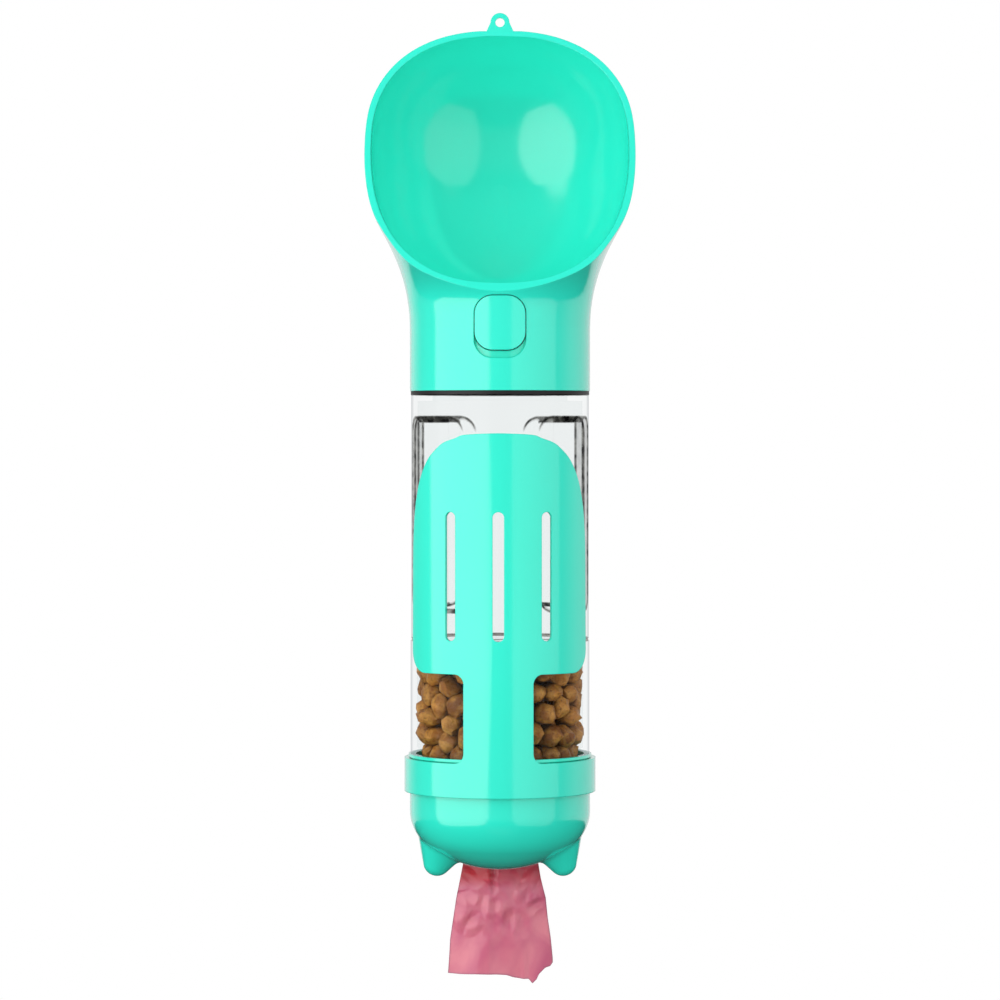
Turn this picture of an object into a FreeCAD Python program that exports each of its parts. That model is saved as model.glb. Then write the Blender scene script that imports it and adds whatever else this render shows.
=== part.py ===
"""A pet's travel drinking bottle, in millimetres, +Z up, its front towards -Y.

The origin is the centre of the hanging eye, on the bottle's axis, and everything hangs below it.
From the top: a drinking head whose bowl faces forwards and whose button opens a valve, a clear
water bottle with grips, a clear food container, and a bag box with two ears that holds a roll of
waste bags. A scoop hugs the front, and its ring slides on the bag box.
"""

import FreeCAD
import Part
import math
import os
import re
import Sketcher

SIZES = {
    # clearances
    "slide_gap": 0.3,
    "shaft_gap": 0.05,
    "seat_gap": 0.1,
    # how far a cutting form runs past what it cuts, or a joined form into what it joins
    "overshoot": 1.0,
    # hanging eye
    "eye_hole_radius": 1.6,
    "eye_radius": 3.3,
    "eye_thickness": 2.4,
    "eye_root_half_width": 5.4,
    "eye_root_depth": 1.8,
    # bowl of the drinking head: drops are measured down from the eye
    "bowl_top_drop": 2.8,
    "bowl_belly_drop": 44.2,
    "bowl_lip_drop": 94.8,
    "bowl_lip_reach": 33.0,
    "bowl_half_width": 46.8,
    "bowl_depth": 43.5,
    "bowl_wall": 2.1,
    "bowl_floor": 2.4,
    "bowl_lip_wall": 3.1,
    "bowl_upper_fullness": 2.35,
    "bowl_lower_fullness": 2.4,
    "bowl_floor_fullness": 0.35,
    # collar of the drinking head
    "collar_radius": 31.5,
    "collar_wall": 2.2,
    "collar_height": 33.8,
    "flare_radius": 64.0,
    "flare_drop": 12.2,
    "flare_height": 34.0,
    "lip_spread": 1.5,
    "hood_fullness": 1.6,
    "back_bend_drop": 64.0,
    "chamber_wall": 2.8,
    "chamber_height": 18.1,
    # water outlet from the valve to the bowl
    "outlet_radius": 3.0,
    "outlet_wall": 2.0,
    "outlet_offset": 5.0,
    # button, its opening and its lock
    "button_width": 17.4,
    "button_height": 18.6,
    "button_corner": 6.2,
    "button_drop": 1.4,
    "button_gap": 0.25,
    "button_thickness": 1.4,
    "button_proud": 0.5,
    "lock_travel": 2.5,
    "lock_recess": 1.2,
    "post_width": 5.0,
    "post_drop": 2.5,
    "hook_width": 7.0,
    "hook_thickness": 1.0,
    # carriage behind the button
    "carriage_width": 21.0,
    "carriage_height": 16.6,
    "carriage_plate": 2.0,
    "carriage_setback": 5.1,
    "carriage_drop": 0.2,
    "press_travel": 3.0,
    "wedge_width": 10.0,
    "wedge_top_inset": 0.8,
    "wedge_height": 6.4,
    "wedge_reach": 12.2,
    "wedge_ramp": 5.8,
    # valve
    "stem_offset": 11.0,
    "stem_radius": 2.4,
    "stem_head_width": 10.0,
    "stem_head_depth": 11.2,
    "stem_head_foot": 3.4,
    "stem_head_shift": 1.0,
    "arm_thickness": 2.2,
    "arm_width": 6.0,
    "arm_drop": 3.6,
    "plug_radius": 6.0,
    "plug_height": 3.3,
    "plug_peg_radius": 1.8,
    "plug_peg_height": 2.2,
    "port_radius": 4.0,
    "gland_depth": 1.6,
    "seal_width": 1.4,
    "seal_height": 1.5,
    "washer_radius": 5.5,
    "washer_thickness": 0.5,
    "valve_spring_radius": 3.6,
    "valve_spring_wire": 0.7,
    "valve_spring_coils": 4,
    "button_spring_radius": 2.0,
    "button_spring_wire": 0.4,
    "button_spring_coils": 4,
    "button_spring_offset": 8.0,
    "button_spring_length": 6.6,
    "outlet_seal_height": 0.8,
    # neck cap inside the head
    "cap_height": 13.2,
    "cap_disc": 2.5,
    "cap_wall": 3.0,
    "cap_post_width": 5.0,
    "cap_post_thickness": 1.6,
    "cap_post_height": 9.5,
    # gaskets at the two joints
    "head_gasket_height": 1.3,
    "head_gasket_inset": 0.3,
    "seam_gasket_height": 0.9,
    "seam_gasket_inset": 0.4,
    # water bottle
    "bottle_radius": 31.05,
    "bottle_wall": 2.2,
    "bottle_height": 85.0,
    "bottle_turn": 5.0,
    "neck_wall": 2.2,
    "neck_gap": 0.4,
    "neck_top_gap": 0.5,
    "grip_depth": 1.2,
    "grip_top_inset": 7.2,
    "grip_bottom_inset": 9.6,
    "grip_slope": 2.6,
    "front_rib_angle": 39.0,
    "side_rib_angle": 20.0,
    "grip_corner": 4.6,
    "bottle_stub_height": 7.0,
    "bottle_stub_wall": 2.2,
    "stub_gap": 0.8,
    # food container and its fill
    "container_radius": 31.3,
    "container_wall": 2.2,
    "container_height": 39.4,
    "container_floor": 2.0,
    "container_foot_height": 5.7,
    "kibble_gap": 0.4,
    "kibble_headroom": 1.0,
    "kibble_lump": 4.2,
    "kibble_pitch": 7.3,
    # bag box
    "box_radius": 31.57,
    "box_wall": 2.0,
    "box_rim_radius": 32.0,
    "box_rim_height": 1.1,
    "box_straight": 20.0,
    "box_corner_radius": 15.4,
    "box_crown_radius": 43.1,
    "ear_offset": 22.05,
    "ear_tip_radius": 4.9,
    "ear_tip_drop": 2.6,
    "ear_half_angle": 29.0,
    "ear_lean": 19.0,
    "ear_length": 20.0,
    "ear_blend": 3.5,
    "slot_length": 31.0,
    "slot_width": 6.4,
    # roll of bags
    "roll_radius": 13.0,
    "roll_length": 42.0,
    "roll_drop": 19.2,
    "core_radius": 8.0,
    "core_wall": 1.2,
    "core_overhang": 0.8,
    # bag tail
    "tail_top_width": 24.9,
    "tail_bottom_width": 38.2,
    "tail_length": 39.8,
    "tail_thickness": 0.8,
    "tail_pleat": 1.9,
    "tail_tip_offset": 11.0,
    "tail_left_tear": 4.0,
    "tail_right_tear": 7.0,
    # scoop
    "scoop_wall": 1.6,
    "blade_wall": 1.2,
    "ring_height": 11.8,
    "ring_rim_gap": 0.2,
    "window_height": 30.6,
    "blade_height": 82.7,
    "blade_half_width": 36.25,
    "blade_shoulder": 50.0,
    "blade_fullness": 2.85,
    "blade_foot_half_width": 36.5,
    "blade_corner": 8.0,
    "scoop_neck_half_width": 12.1,
    "scoop_neck_fillet": 3.4,
    "slit_width": 3.9,
    "slit_length": 44.3,
    "slit_top_inset": 27.0,
    "slit_spread": 59.4,
    "scoop_turn": 1.0,
}

# Places worked out from the sizes, as expressions, each from those above it.
PLACES = {
    "foot_z": "-(bowl_lip_drop + collar_height)",
    "flare_z": "-(bowl_lip_drop + flare_drop)",
    "button_top_z": "-(bowl_lip_drop + button_drop)",
    "button_z": "button_top_z - button_height / 2",
    "button_bottom_z": "button_top_z - button_height",
    "chamber_radius": "collar_radius - chamber_wall",
    "cap_top_z": "foot_z + cap_height",
    "cap_under_z": "cap_top_z - cap_disc",
    "chamber_z": "cap_top_z + chamber_height",
    "cap_radius": "collar_radius - collar_wall - seat_gap",
    "shoulder_z": "foot_z - head_gasket_height",
    "neck_radius": "cap_radius - cap_wall - neck_gap",
    "neck_top_z": "cap_under_z - neck_top_gap",
    "bottle_base_z": "shoulder_z - bottle_height",
    "container_top_z": "bottle_base_z - seam_gasket_height",
    "container_bore": "container_radius - container_wall",
    "stub_radius": "container_bore - stub_gap",
    "stub_z": "bottle_base_z - bottle_stub_height",
    "container_step_z": "container_top_z - container_height",
    "box_top_z": "container_step_z - seat_gap",
    "box_bore": "box_radius - box_wall",
    "container_foot_z": "container_step_z - container_foot_height",
    "dome_z": "box_top_z - box_straight",
    "roll_z": "box_top_z - roll_drop",
    "ring_top_z": "box_top_z - box_rim_height - ring_rim_gap",
    "ring_bore": "box_radius + slide_gap",
    "scoop_radius": "ring_bore + scoop_wall",
    "blade_foot_z": "ring_top_z + window_height",
    "blade_top_z": "blade_foot_z + blade_height",
    "cap_back_radius": "collar_radius + button_proud - button_thickness",
    "carriage_front_y": "-(collar_radius - carriage_setback)",
    "carriage_back_y": "carriage_front_y + carriage_plate",
    "post_z": "button_z - post_drop",
    "carriage_z": "button_z - carriage_drop",
    "wedge_top_z": "carriage_z + carriage_height / 2 - wedge_top_inset",
    "gland_radius": "stem_radius + shaft_gap + seal_width",
    "arm_top_z": "cap_under_z - arm_drop",
    "stem_head_z": "wedge_top_z - wedge_height - stem_head_foot",
    "wedge_end_y": "carriage_back_y + wedge_reach",
    "wedge_nose_z": "wedge_top_z - wedge_height + wedge_ramp",
    "ramp_gap": "slide_gap * 2",
    "stem_head_y": "-(stem_offset + stem_head_depth / 2 + stem_head_shift)",
    "post_y": "carriage_back_y + button_spring_length",
    "foot_radius": "box_bore - slide_gap",
    "corner_run": "box_radius - box_corner_radius",
    "crown_z": "dome_z + sqrt((box_crown_radius - box_corner_radius)^2 - corner_run^2)",
    "dome_bottom_z": "crown_z - box_crown_radius",
    "kibble_foot_radius": "foot_radius - container_wall - kibble_gap",
    "kibble_foot_z": "container_foot_z + container_floor + kibble_gap",
    "kibble_top_z": "stub_z - kibble_headroom",
}

DOCUMENT = FreeCAD.newDocument("TravelBottle")
SHEET = DOCUMENT.addObject("Spreadsheet::Sheet", "Sizes")
PARTS = []

ALONG_X = FreeCAD.Vector(1, 0, 0)
ALONG_Z = FreeCAD.Vector(0, 0, 1)

# The turn about Z, in degrees, at which something faces forwards
FRONT = 270

# Where the lofted outlines lie: points round each, turns into the bowl, and levels up the hood
RING_STEPS = 24
BOWL_TURNS = (20, 38, 54, 68, 79, 86)
HOOD_RISE = (0.0, 0.07, 0.15, 0.24, 0.34, 0.46, 0.6, 0.8)
HOOD_CROWN = (0, 18, 34, 48, 60, 70, 78, 84)

# How many runs a flat quarter ellipse is drawn with
ARC_STEPS = 12

# Edges shorter than this, in mm, are left when the ears' roots are rounded
SHORT_EDGE = 1.0

# How many flat pleats the bag's end has
FILM_PLEATS = 4


def fill_sheet():
    """Writes every driving size into the sheet, its name in column A and its value in column B."""
    for row, (name, size) in enumerate(SIZES.items(), 1):
        SHEET.set(f"A{row}", name)
        SHEET.set(f"B{row}", str(size))
        SHEET.setAlias(f"B{row}", name)
    DOCUMENT.recompute()


def full(text):
    """An expression in plain names, turned into one that reads the sheet."""

    def swap(word):
        name = word[0]
        if name in PLACES:
            return "(" + full(PLACES[name]) + ")"
        return "Sizes." + name if name in SIZES else name

    return re.sub(r"[a-z_]+", swap, str(text))


def value(text):
    """What an expression comes to, as a plain number."""
    return float(SHEET.evalExpression(full(text)))


def bind(item, **sizes):
    """Ties properties of an object to expressions; x, y and z are its place."""
    for name, text in sizes.items():
        path = f"Placement.Base.{name}" if name in "xyz" else name
        item.setExpression(path, full(text))
    return item


def primitive(kind, name, **sizes):
    return bind(DOCUMENT.addObject("Part::" + kind, name), **sizes)


def cylinder(name, radius, top, bottom, x="0", y="0"):
    """An upright cylinder between two heights."""
    height = f"({top}) - ({bottom})"
    return primitive("Cylinder", name, Radius=radius, Height=height, x=x, y=y, z=bottom)


def fused(name, *items):
    join = DOCUMENT.addObject("Part::MultiFuse", name)
    join.Shapes = list(items)
    return join


def cut(name, base, *tools):
    tool = tools[0] if len(tools) == 1 else fused(name + "_tools", *tools)
    result = DOCUMENT.addObject("Part::Cut", name)
    result.Base = base
    result.Tool = tool
    return result


def common(name, base, tool):
    result = DOCUMENT.addObject("Part::Common", name)
    result.Base = base
    result.Tool = tool
    return result


def section(name, curve):
    """A closed curve kept as an object, so that a loft can name it."""
    item = DOCUMENT.addObject("Part::Feature", name)
    item.Shape = Part.Wire([curve.toShape()])
    return item


def loft(name, sections):
    result = DOCUMENT.addObject("Part::Loft", name)
    result.Sections = sections
    result.Solid = True
    result.Ruled = False
    return result


def finished(item, label):
    """Marks an object as a sub-part, whose label names its file."""
    item.Label = label
    PARTS.append(item)
    return item


def new_body(label):
    body = DOCUMENT.addObject("PartDesign::Body", label)
    return finished(body, label)


def sketch(body, role, name, turn=0.0, shift=None):
    """A sketch on one of the body's own planes, turned about Z by degrees or shifted along it."""
    item = body.newObject("Sketcher::SketchObject", name)
    plane = [f for f in body.Origin.OriginFeatures if f.Role == role][0]
    item.AttachmentSupport = [(plane, "")]
    item.MapMode = "FlatFace"
    if turn:
        spin = FreeCAD.Rotation(FreeCAD.Vector(0, 1, 0), turn)
        item.AttachmentOffset = FreeCAD.Placement(FreeCAD.Vector(), spin)
    if shift:
        item.setExpression("AttachmentOffset.Base.z", full(shift))
    return item


def trace(item, corners):
    """A closed outline of straight sides, each corner tied to its pair of expressions."""
    points = [FreeCAD.Vector(value(x), value(y), 0) for x, y in corners]
    first = item.GeometryCount
    count = len(points)
    for i, point in enumerate(points):
        item.addGeometry(Part.LineSegment(point, points[(i + 1) % count]), False)
    for i in range(count):
        following = first + (i + 1) % count
        item.addConstraint(Sketcher.Constraint("Coincident", first + i, 2, following, 1))
    for i, corner in enumerate(corners):
        for kind, text in zip(("DistanceX", "DistanceY"), corner):
            rule = Sketcher.Constraint(kind, first + i, 1, value(text))
            number = item.addConstraint(rule)
            item.setExpression(f"Constraints[{number}]", full(text))
    return item


def trace_circle(item, radius, x="0", y="0"):
    centre = FreeCAD.Vector(value(x), value(y), 0)
    ring = item.addGeometry(Part.Circle(centre, FreeCAD.Vector(0, 0, 1), value(radius)), False)
    rules = (("Radius", (ring,), radius), ("DistanceX", (ring, 3), x), ("DistanceY", (ring, 3), y))
    for kind, places, text in rules:
        number = item.addConstraint(Sketcher.Constraint(kind, *places, value(text)))
        item.setExpression(f"Constraints[{number}]", full(text))
    return item


def trace_stadium(item, length, width, x="0", y="0"):
    """A round-ended slot along the sketch's first direction."""
    half = (value(length) - value(width)) / 2
    radius = value(width) / 2
    middle = FreeCAD.Vector(value(x), value(y), 0)

    def at(across, up):
        return middle + FreeCAD.Vector(across, up, 0)

    item.addGeometry(
        [
            Part.LineSegment(at(-half, -radius), at(half, -radius)),
            Part.Arc(at(half, -radius), at(half + radius, 0), at(half, radius)),
            Part.LineSegment(at(half, radius), at(-half, radius)),
            Part.Arc(at(-half, radius), at(-half - radius, 0), at(-half, -radius)),
        ],
        False,
    )
    return item


def revolve(body, profile, name, groove=False, angle=360.0, middle=False):
    """Turns a profile about the sketch's vertical line, to add or to cut."""
    kind = "Groove" if groove else "Revolution"
    feature = body.newObject("PartDesign::" + kind, name)
    feature.Profile = profile
    feature.ReferenceAxis = (profile, ["V_Axis"])
    feature.Midplane = middle
    if isinstance(angle, str):
        feature.setExpression("Angle", full(angle))
    else:
        feature.Angle = angle
    profile.Visibility = False
    return feature


def pad(body, profile, name, length, pocket=False, middle=False, back=False):
    """Pushes a profile out of its sketch, or cuts it away, by a bound length."""
    kind = "Pocket" if pocket else "Pad"
    feature = body.newObject("PartDesign::" + kind, name)
    feature.Profile = profile
    feature.setExpression("Length", full(length))
    feature.Midplane = middle
    feature.Reversed = back
    return feature


def turned(name, corners):
    """A solid turned from one outline of radius and height."""
    body = DOCUMENT.addObject("PartDesign::Body", name)
    profile = trace(sketch(body, "XZ_Plane", name + "_profile"), corners)
    revolve(body, profile, name + "_turned")
    return body


def flat_arc(x, y, wide, tall, first, last):
    """Points of a quarter ellipse round a centre, from one angle in degrees to another."""
    turns = [math.radians(first + (last - first) * i / ARC_STEPS) for i in range(ARC_STEPS + 1)]
    return [(x + wide * math.cos(turn), y + tall * math.sin(turn)) for turn in turns]


def bent_sheet(name, near, far, turn):
    """Two flat outlines and their mirror images, wrapped round upright cylinders and joined.

    Each is a radius and the pieces of half an outline, as lists of points across and up: two points
    are a straight line, more are a smooth curve. The sheet's middle faces the turn, in degrees.
    """
    middle = (near[0] + far[0]) / 2
    loops = []
    faces = []
    for radius, pieces in (near, far):
        tube = Part.Cylinder()
        tube.Radius = radius
        mirrored = [[(-x, y) for x, y in reversed(piece)] for piece in reversed(pieces)]
        edges = []
        for piece in pieces + mirrored:
            flat = [FreeCAD.Base.Vector2d(math.pi + x / middle, y) for x, y in piece]
            if len(flat) == 2:
                line = Part.Geom2d.Line2dSegment(*flat)
            else:
                line = Part.Geom2d.BSplineCurve2d()
                line.interpolate(flat)
            edges.append(line.toShape(tube))
        loops.append(edges)
        faces.append(Part.Face(tube, Part.Wire(Part.__sortEdges__(edges))))
    sides = [Part.makeRuledSurface(low, high) for low, high in zip(*loops)]
    shell = Part.makeShell(faces + sides)
    shell.sewShape()
    sheet = DOCUMENT.addObject("Part::Feature", name)
    sheet.Shape = Part.Solid(shell)
    sheet.Placement.Rotation = FreeCAD.Rotation(ALONG_Z, turn - 180)
    return sheet


# The drinking head: a hood with an egg-shaped bowl on a leaning rim plane, over a round collar


def rim_frame():
    """The rim plane: its centre at the bowl's widest level, its upward and its inward direction."""
    drop = value("bowl_lip_drop")
    reach = value("bowl_lip_reach")
    belly = value("bowl_belly_drop")
    centre = FreeCAD.Vector(0, -belly * reach / drop, -belly)
    up = FreeCAD.Vector(0, reach, drop).normalize()
    inward = FreeCAD.Vector(0, drop, -reach).normalize()
    return centre, up, inward


def smooth_ring(place):
    """A closed smooth curve through evenly turned points, from the back or the top round."""
    steps = RING_STEPS
    points = []
    for i in range(steps):
        angle = math.pi / 2 + 2 * math.pi * i / steps
        points.append(place(math.cos(angle), math.sin(angle)))
    curve = Part.BSplineCurve()
    shares = [i / steps for i in range(steps + 1)]
    curve.interpolate(Points=points, Parameters=shares, PeriodicFlag=True)
    return curve


def egg(depth, scale, lower_scale, inset, lip_inset):
    """The bowl's outline at a depth behind the rim plane: two half super-ellipses, made smaller."""
    centre, up, inward = rim_frame()
    half_width = value("bowl_half_width") - inset
    upper = value("bowl_belly_drop - bowl_top_drop") / up.z - inset
    lower = value("bowl_lip_drop - bowl_belly_drop") / up.z - lip_inset

    def place(across, along):
        height = upper if along >= 0 else lower
        power = value("bowl_upper_fullness" if along >= 0 else "bowl_lower_fullness")
        # towards the back of the bowl the outline loses its corners
        power = 2 + (power - 2) * scale
        far = (abs(across / half_width) ** power + abs(along / height) ** power) ** (-1 / power)
        climb = along * far * (scale if along >= 0 else lower_scale)
        return centre + up * climb + inward * depth + FreeCAD.Vector(across * far * scale, 0, 0)

    return smooth_ring(place)


def bowl_form(name, wall, lip_wall, start):
    """The egg outline shrinking towards the back of the bowl, but less so on the side of its floor."""
    depth = value("bowl_depth") - wall
    sections = [section(name + "_mouth", egg(start, 1.0, 1.0, wall, lip_wall))]
    for number, angle in enumerate(BOWL_TURNS):
        turn = math.radians(angle)
        scale = math.cos(turn)
        lower = scale ** value("bowl_floor_fullness")
        curve = egg(depth * math.sin(turn), scale, lower, wall, lip_wall)
        sections.append(section(f"{name}_{number}", curve))
    return loft(name, sections)


def hood_half_width(height):
    """Half the head's width at a height: a sweep out of the collar, then the bowl's own outline."""
    climb = max(height - value("flare_z"), 0.0)
    if climb < value("flare_height"):
        sweep = value("flare_radius")
        return value("collar_radius") + sweep - math.sqrt(sweep**2 - climb**2)
    above = height + value("bowl_belly_drop")
    if above > 0:
        span = value("bowl_belly_drop - bowl_top_drop")
        power = value("bowl_upper_fullness")
    else:
        span = value("bowl_lip_drop - bowl_belly_drop")
        power = value("bowl_lower_fullness")
    return value("bowl_half_width") * (1 - abs(above / span) ** power) ** (1 / power)


def hood_section(name, height):
    """One level outline of the head: widest on the rim plane above, round about the axis below."""
    slope = value("bowl_lip_reach / bowl_lip_drop")
    lip = -value("bowl_lip_drop")
    belly = -value("bowl_belly_drop")
    bend = -value("back_bend_drop")
    top = -value("bowl_top_drop")
    half_width = hood_half_width(height)
    back = value("collar_radius")
    front = back + value("lip_spread") * max(min(height, belly) - lip, 0.0)
    rise = min(max((height - lip) / (belly - lip), 0.0), 1.0)
    middle = belly * slope * rise**2 * (3 - 2 * rise)
    power = 2 + value("hood_fullness") * rise * (2 - rise)
    if height > belly:
        middle = height * slope
        front *= half_width / value("bowl_half_width")
    if height > bend:
        back *= math.sqrt(1 - ((height - bend) / (top - bend)) ** 2)

    def place(across, along):
        if along >= 0:
            return FreeCAD.Vector(across * half_width, middle + along * (back - middle), height)
        far = (abs(across) ** power + abs(along) ** power) ** (-1 / power)
        return FreeCAD.Vector(across * far * half_width, middle + along * far * front, height)

    return section(name, smooth_ring(place))


def hood_form():
    """The head's outside: level outlines from the flare to the crown, over a straight collar."""
    foot = value("foot_z")
    start = value("flare_z")
    belly = -value("bowl_belly_drop")
    crown = value("bowl_belly_drop - bowl_top_drop")
    # the loft starts below the flare, so that it leaves the collar upright
    heights = [foot + share * (start - foot) for share in (0.0, 0.35, 0.7)]
    heights += [start + share * (belly - start) for share in HOOD_RISE]
    heights += [belly + crown * math.sin(math.radians(turn)) for turn in HOOD_CROWN]
    sections = [hood_section(f"hood_{i}", height) for i, height in enumerate(heights)]
    low_part = cylinder("below_flare", "2 * collar_radius", "flare_z", "foot_z - overshoot")
    upper = cut("hood_upper", loft("hood", sections), low_part)
    collar = DOCUMENT.addObject("Part::Extrusion", "collar")
    collar.Base = hood_section("collar_outline", start)
    collar.Dir = FreeCAD.Vector(0, 0, -1)
    collar.Solid = True
    bind(collar, LengthFwd="flare_z - foot_z")
    return fused("hood_whole", upper, collar)


def rim_trimmer():
    """A block in front of the rim plane, which takes off what stands out of the bowl's mouth."""
    size = 4 * value("bowl_half_width")
    over = value("collar_radius")
    block = DOCUMENT.addObject("Part::Box", "rim_trimmer")
    block.Length = block.Width = block.Height = size
    slope = math.atan(value("bowl_lip_reach / bowl_lip_drop"))
    lean = FreeCAD.Rotation(ALONG_X, -math.degrees(slope))
    corner = lean.multVec(FreeCAD.Vector(-size / 2, -size, over - size))
    block.Placement = FreeCAD.Placement(corner, lean)
    return block


def eye_form():
    """The hanging eye's tab: a round plate on a spreading root."""
    plate = primitive(
        "Cylinder", "eye_plate", Radius="eye_radius", Height="eye_thickness", y="eye_thickness / 2"
    )
    plate.Placement.Rotation = FreeCAD.Rotation(ALONG_X, 90)
    root = primitive(
        "Wedge",
        "eye_root",
        Xmin="-eye_root_half_width",
        Xmax="eye_root_half_width",
        X2min="-eye_radius",
        X2max="eye_radius",
        Ymin="-(bowl_top_drop + eye_root_depth)",
        Ymax="0",
        Zmin="-eye_thickness / 2",
        Zmax="eye_thickness / 2",
        Z2min="-eye_thickness / 2",
        Z2max="eye_thickness / 2",
    )
    root.Placement.Rotation = FreeCAD.Rotation(ALONG_X, 90)
    return [plate, root]


def rounded_block(name, width, top, bottom, front, back, corner):
    """A block along Y whose four long edges are rounded."""
    block = primitive(
        "Box",
        name + "_block",
        Length=width,
        Width=f"({back}) - ({front})",
        Height=f"({top}) - ({bottom})",
        x=f"-({width}) / 2",
        y=front,
        z=bottom,
    )
    DOCUMENT.recompute()
    radius = value(corner)
    edges = [
        (number, radius, radius)
        for number, edge in enumerate(block.Shape.Edges, 1)
        if abs(edge.tangentAt(edge.FirstParameter).y) > 0.99
    ]
    rounded = DOCUMENT.addObject("Part::Fillet", name)
    rounded.Base = block
    rounded.Edges = edges
    return rounded


def drinking_head():
    """The moulded head: bowl, flared neck, collar, button opening, water outlet and eye."""
    outside = cut("hood_trimmed", hood_form(), rim_trimmer())
    # the dry chamber has a flat roof under the bowl's floor, and rises behind the bowl
    underside = cut(
        "flat_underside",
        bowl_form("underside", 0.0, value("bowl_lip_wall - bowl_wall"), 0.0),
        cylinder("underside_floor", "2 * collar_radius", "chamber_z", "foot_z"),
    )
    front = primitive(
        "Box",
        "chamber_front",
        Length="2 * collar_radius",
        Width="collar_radius",
        Height="bowl_lip_drop",
        x="-collar_radius",
        y="-collar_radius",
        z="chamber_z",
    )
    chamber_tool = cylinder("chamber_tool", "chamber_radius", "-back_bend_drop", "cap_top_z - overshoot")
    chamber = cut("chamber", cut("chamber_step", chamber_tool, front), underside)
    socket = cylinder("neck_socket", "collar_radius - collar_wall", "cap_top_z", "foot_z - overshoot")
    pipe = cylinder(
        "outlet_pipe",
        "outlet_radius + outlet_wall",
        "-back_bend_drop",
        "cap_top_z + outlet_seal_height",
        y="outlet_offset",
    )
    drain = cylinder(
        "outlet_bore", "outlet_radius", "-bowl_belly_drop", "cap_top_z - overshoot", y="outlet_offset"
    )
    opening = rounded_block(
        "button_opening",
        "button_width + 2 * button_gap",
        "button_top_z + button_gap",
        "button_bottom_z - button_gap",
        "-(collar_radius + bowl_wall)",
        "carriage_front_y + carriage_plate / 2 + press_travel + slide_gap",
        "button_corner + button_gap",
    )
    recess = cut(
        "lock_recess",
        rounded_block(
            "recess_block",
            "button_width + 2 * button_gap",
            "button_top_z + button_gap",
            "button_bottom_z - lock_travel - button_gap",
            "-(collar_radius + bowl_wall)",
            "0",
            "button_corner + button_gap",
        ),
        cylinder("recess_floor", "collar_radius - lock_recess", "0", "foot_z"),
    )
    walls = cut("head_walls", outside, chamber, socket)
    piped = fused("head_piped", walls, pipe, *eye_form())
    eye_hole = primitive(
        "Cylinder", "eye_hole", Radius="eye_hole_radius", Height="2 * eye_thickness", y="eye_thickness"
    )
    eye_hole.Placement.Rotation = FreeCAD.Rotation(ALONG_X, 90)
    basin = cut(
        "flat_basin",
        bowl_form("basin", value("bowl_wall"), value("bowl_lip_wall"), -1.0),
        cylinder("basin_floor", "2 * collar_radius", "chamber_z + bowl_floor", "foot_z"),
    )
    head = cut("head", piped, basin, drain, opening, recess, eye_hole)
    return finished(head, "drinking_head")


# The neck cap and the valve that it carries


def neck_cap():
    """The plug in the head's collar: it closes the bottle's neck and guides the valve stem."""
    body = turned(
        "neck_plug",
        [
            ("0", "cap_top_z"),
            ("cap_radius", "cap_top_z"),
            ("cap_radius", "foot_z + seat_gap"),
            ("cap_radius - cap_wall", "foot_z + seat_gap"),
            ("cap_radius - cap_wall", "cap_under_z"),
            ("0", "cap_under_z"),
        ],
    )
    holes = (
        ("gland", "gland_radius", "-stem_offset", "gland_depth"),
        ("stem_bore", "stem_radius + shaft_gap", "-stem_offset", "cap_disc + overshoot"),
        ("port", "port_radius", "outlet_offset", "cap_disc + overshoot"),
    )
    for name, radius, y, depth in holes:
        circle = trace_circle(sketch(body, "XY_Plane", name, shift="cap_top_z"), radius, "0", y)
        pad(body, circle, name + "_hole", depth, pocket=True)
    for side in ("-1", "1"):
        inner = f"{side} * (button_spring_offset - cap_post_width / 2)"
        outer = f"{side} * (button_spring_offset + cap_post_width / 2)"
        corners = [
            (inner, "post_y"),
            (outer, "post_y"),
            (outer, "post_y + cap_post_thickness"),
            (inner, "post_y + cap_post_thickness"),
        ]
        base = trace(sketch(body, "XY_Plane", "post_base", shift="cap_top_z"), corners)
        pad(body, base, "spring_post", "cap_post_height")
    return finished(body, "neck_cap")


def flat_ring(label, outer, inner, top, thickness, y="0"):
    """A plain washer, lying level."""
    body = new_body(label)
    base = sketch(body, "XY_Plane", label + "_outline", shift=f"({top}) - ({thickness})")
    trace_circle(base, outer, "0", y)
    trace_circle(base, inner, "0", y)
    pad(body, base, label + "_pad", thickness)
    return body


def coil(name, radius, wire, turns, length, place, turn):
    """An open wound spring, from its place along the turned Z direction, of wire with six flats."""
    pitch = f"({length} - {wire}) / {turns}"
    helix = primitive("Helix", name + "_line", Radius=radius, Height=f"{length} - {wire}", Pitch=pitch)
    outline = primitive("RegularPolygon", name + "_wire", Circumradius=f"{wire} / 2")
    outline.Polygon = 6
    upright = FreeCAD.Rotation(ALONG_X, 90)
    outline.Placement = FreeCAD.Placement(FreeCAD.Vector(value(radius), 0, 0), upright)
    spring = DOCUMENT.addObject("Part::Sweep", name)
    spring.Sections = [outline]
    spring.Spine = (helix, [])
    spring.Solid = True
    spring.Frenet = True
    spring.Placement = FreeCAD.Placement(FreeCAD.Vector(*[value(text) for text in place]), turn)
    return spring


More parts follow.
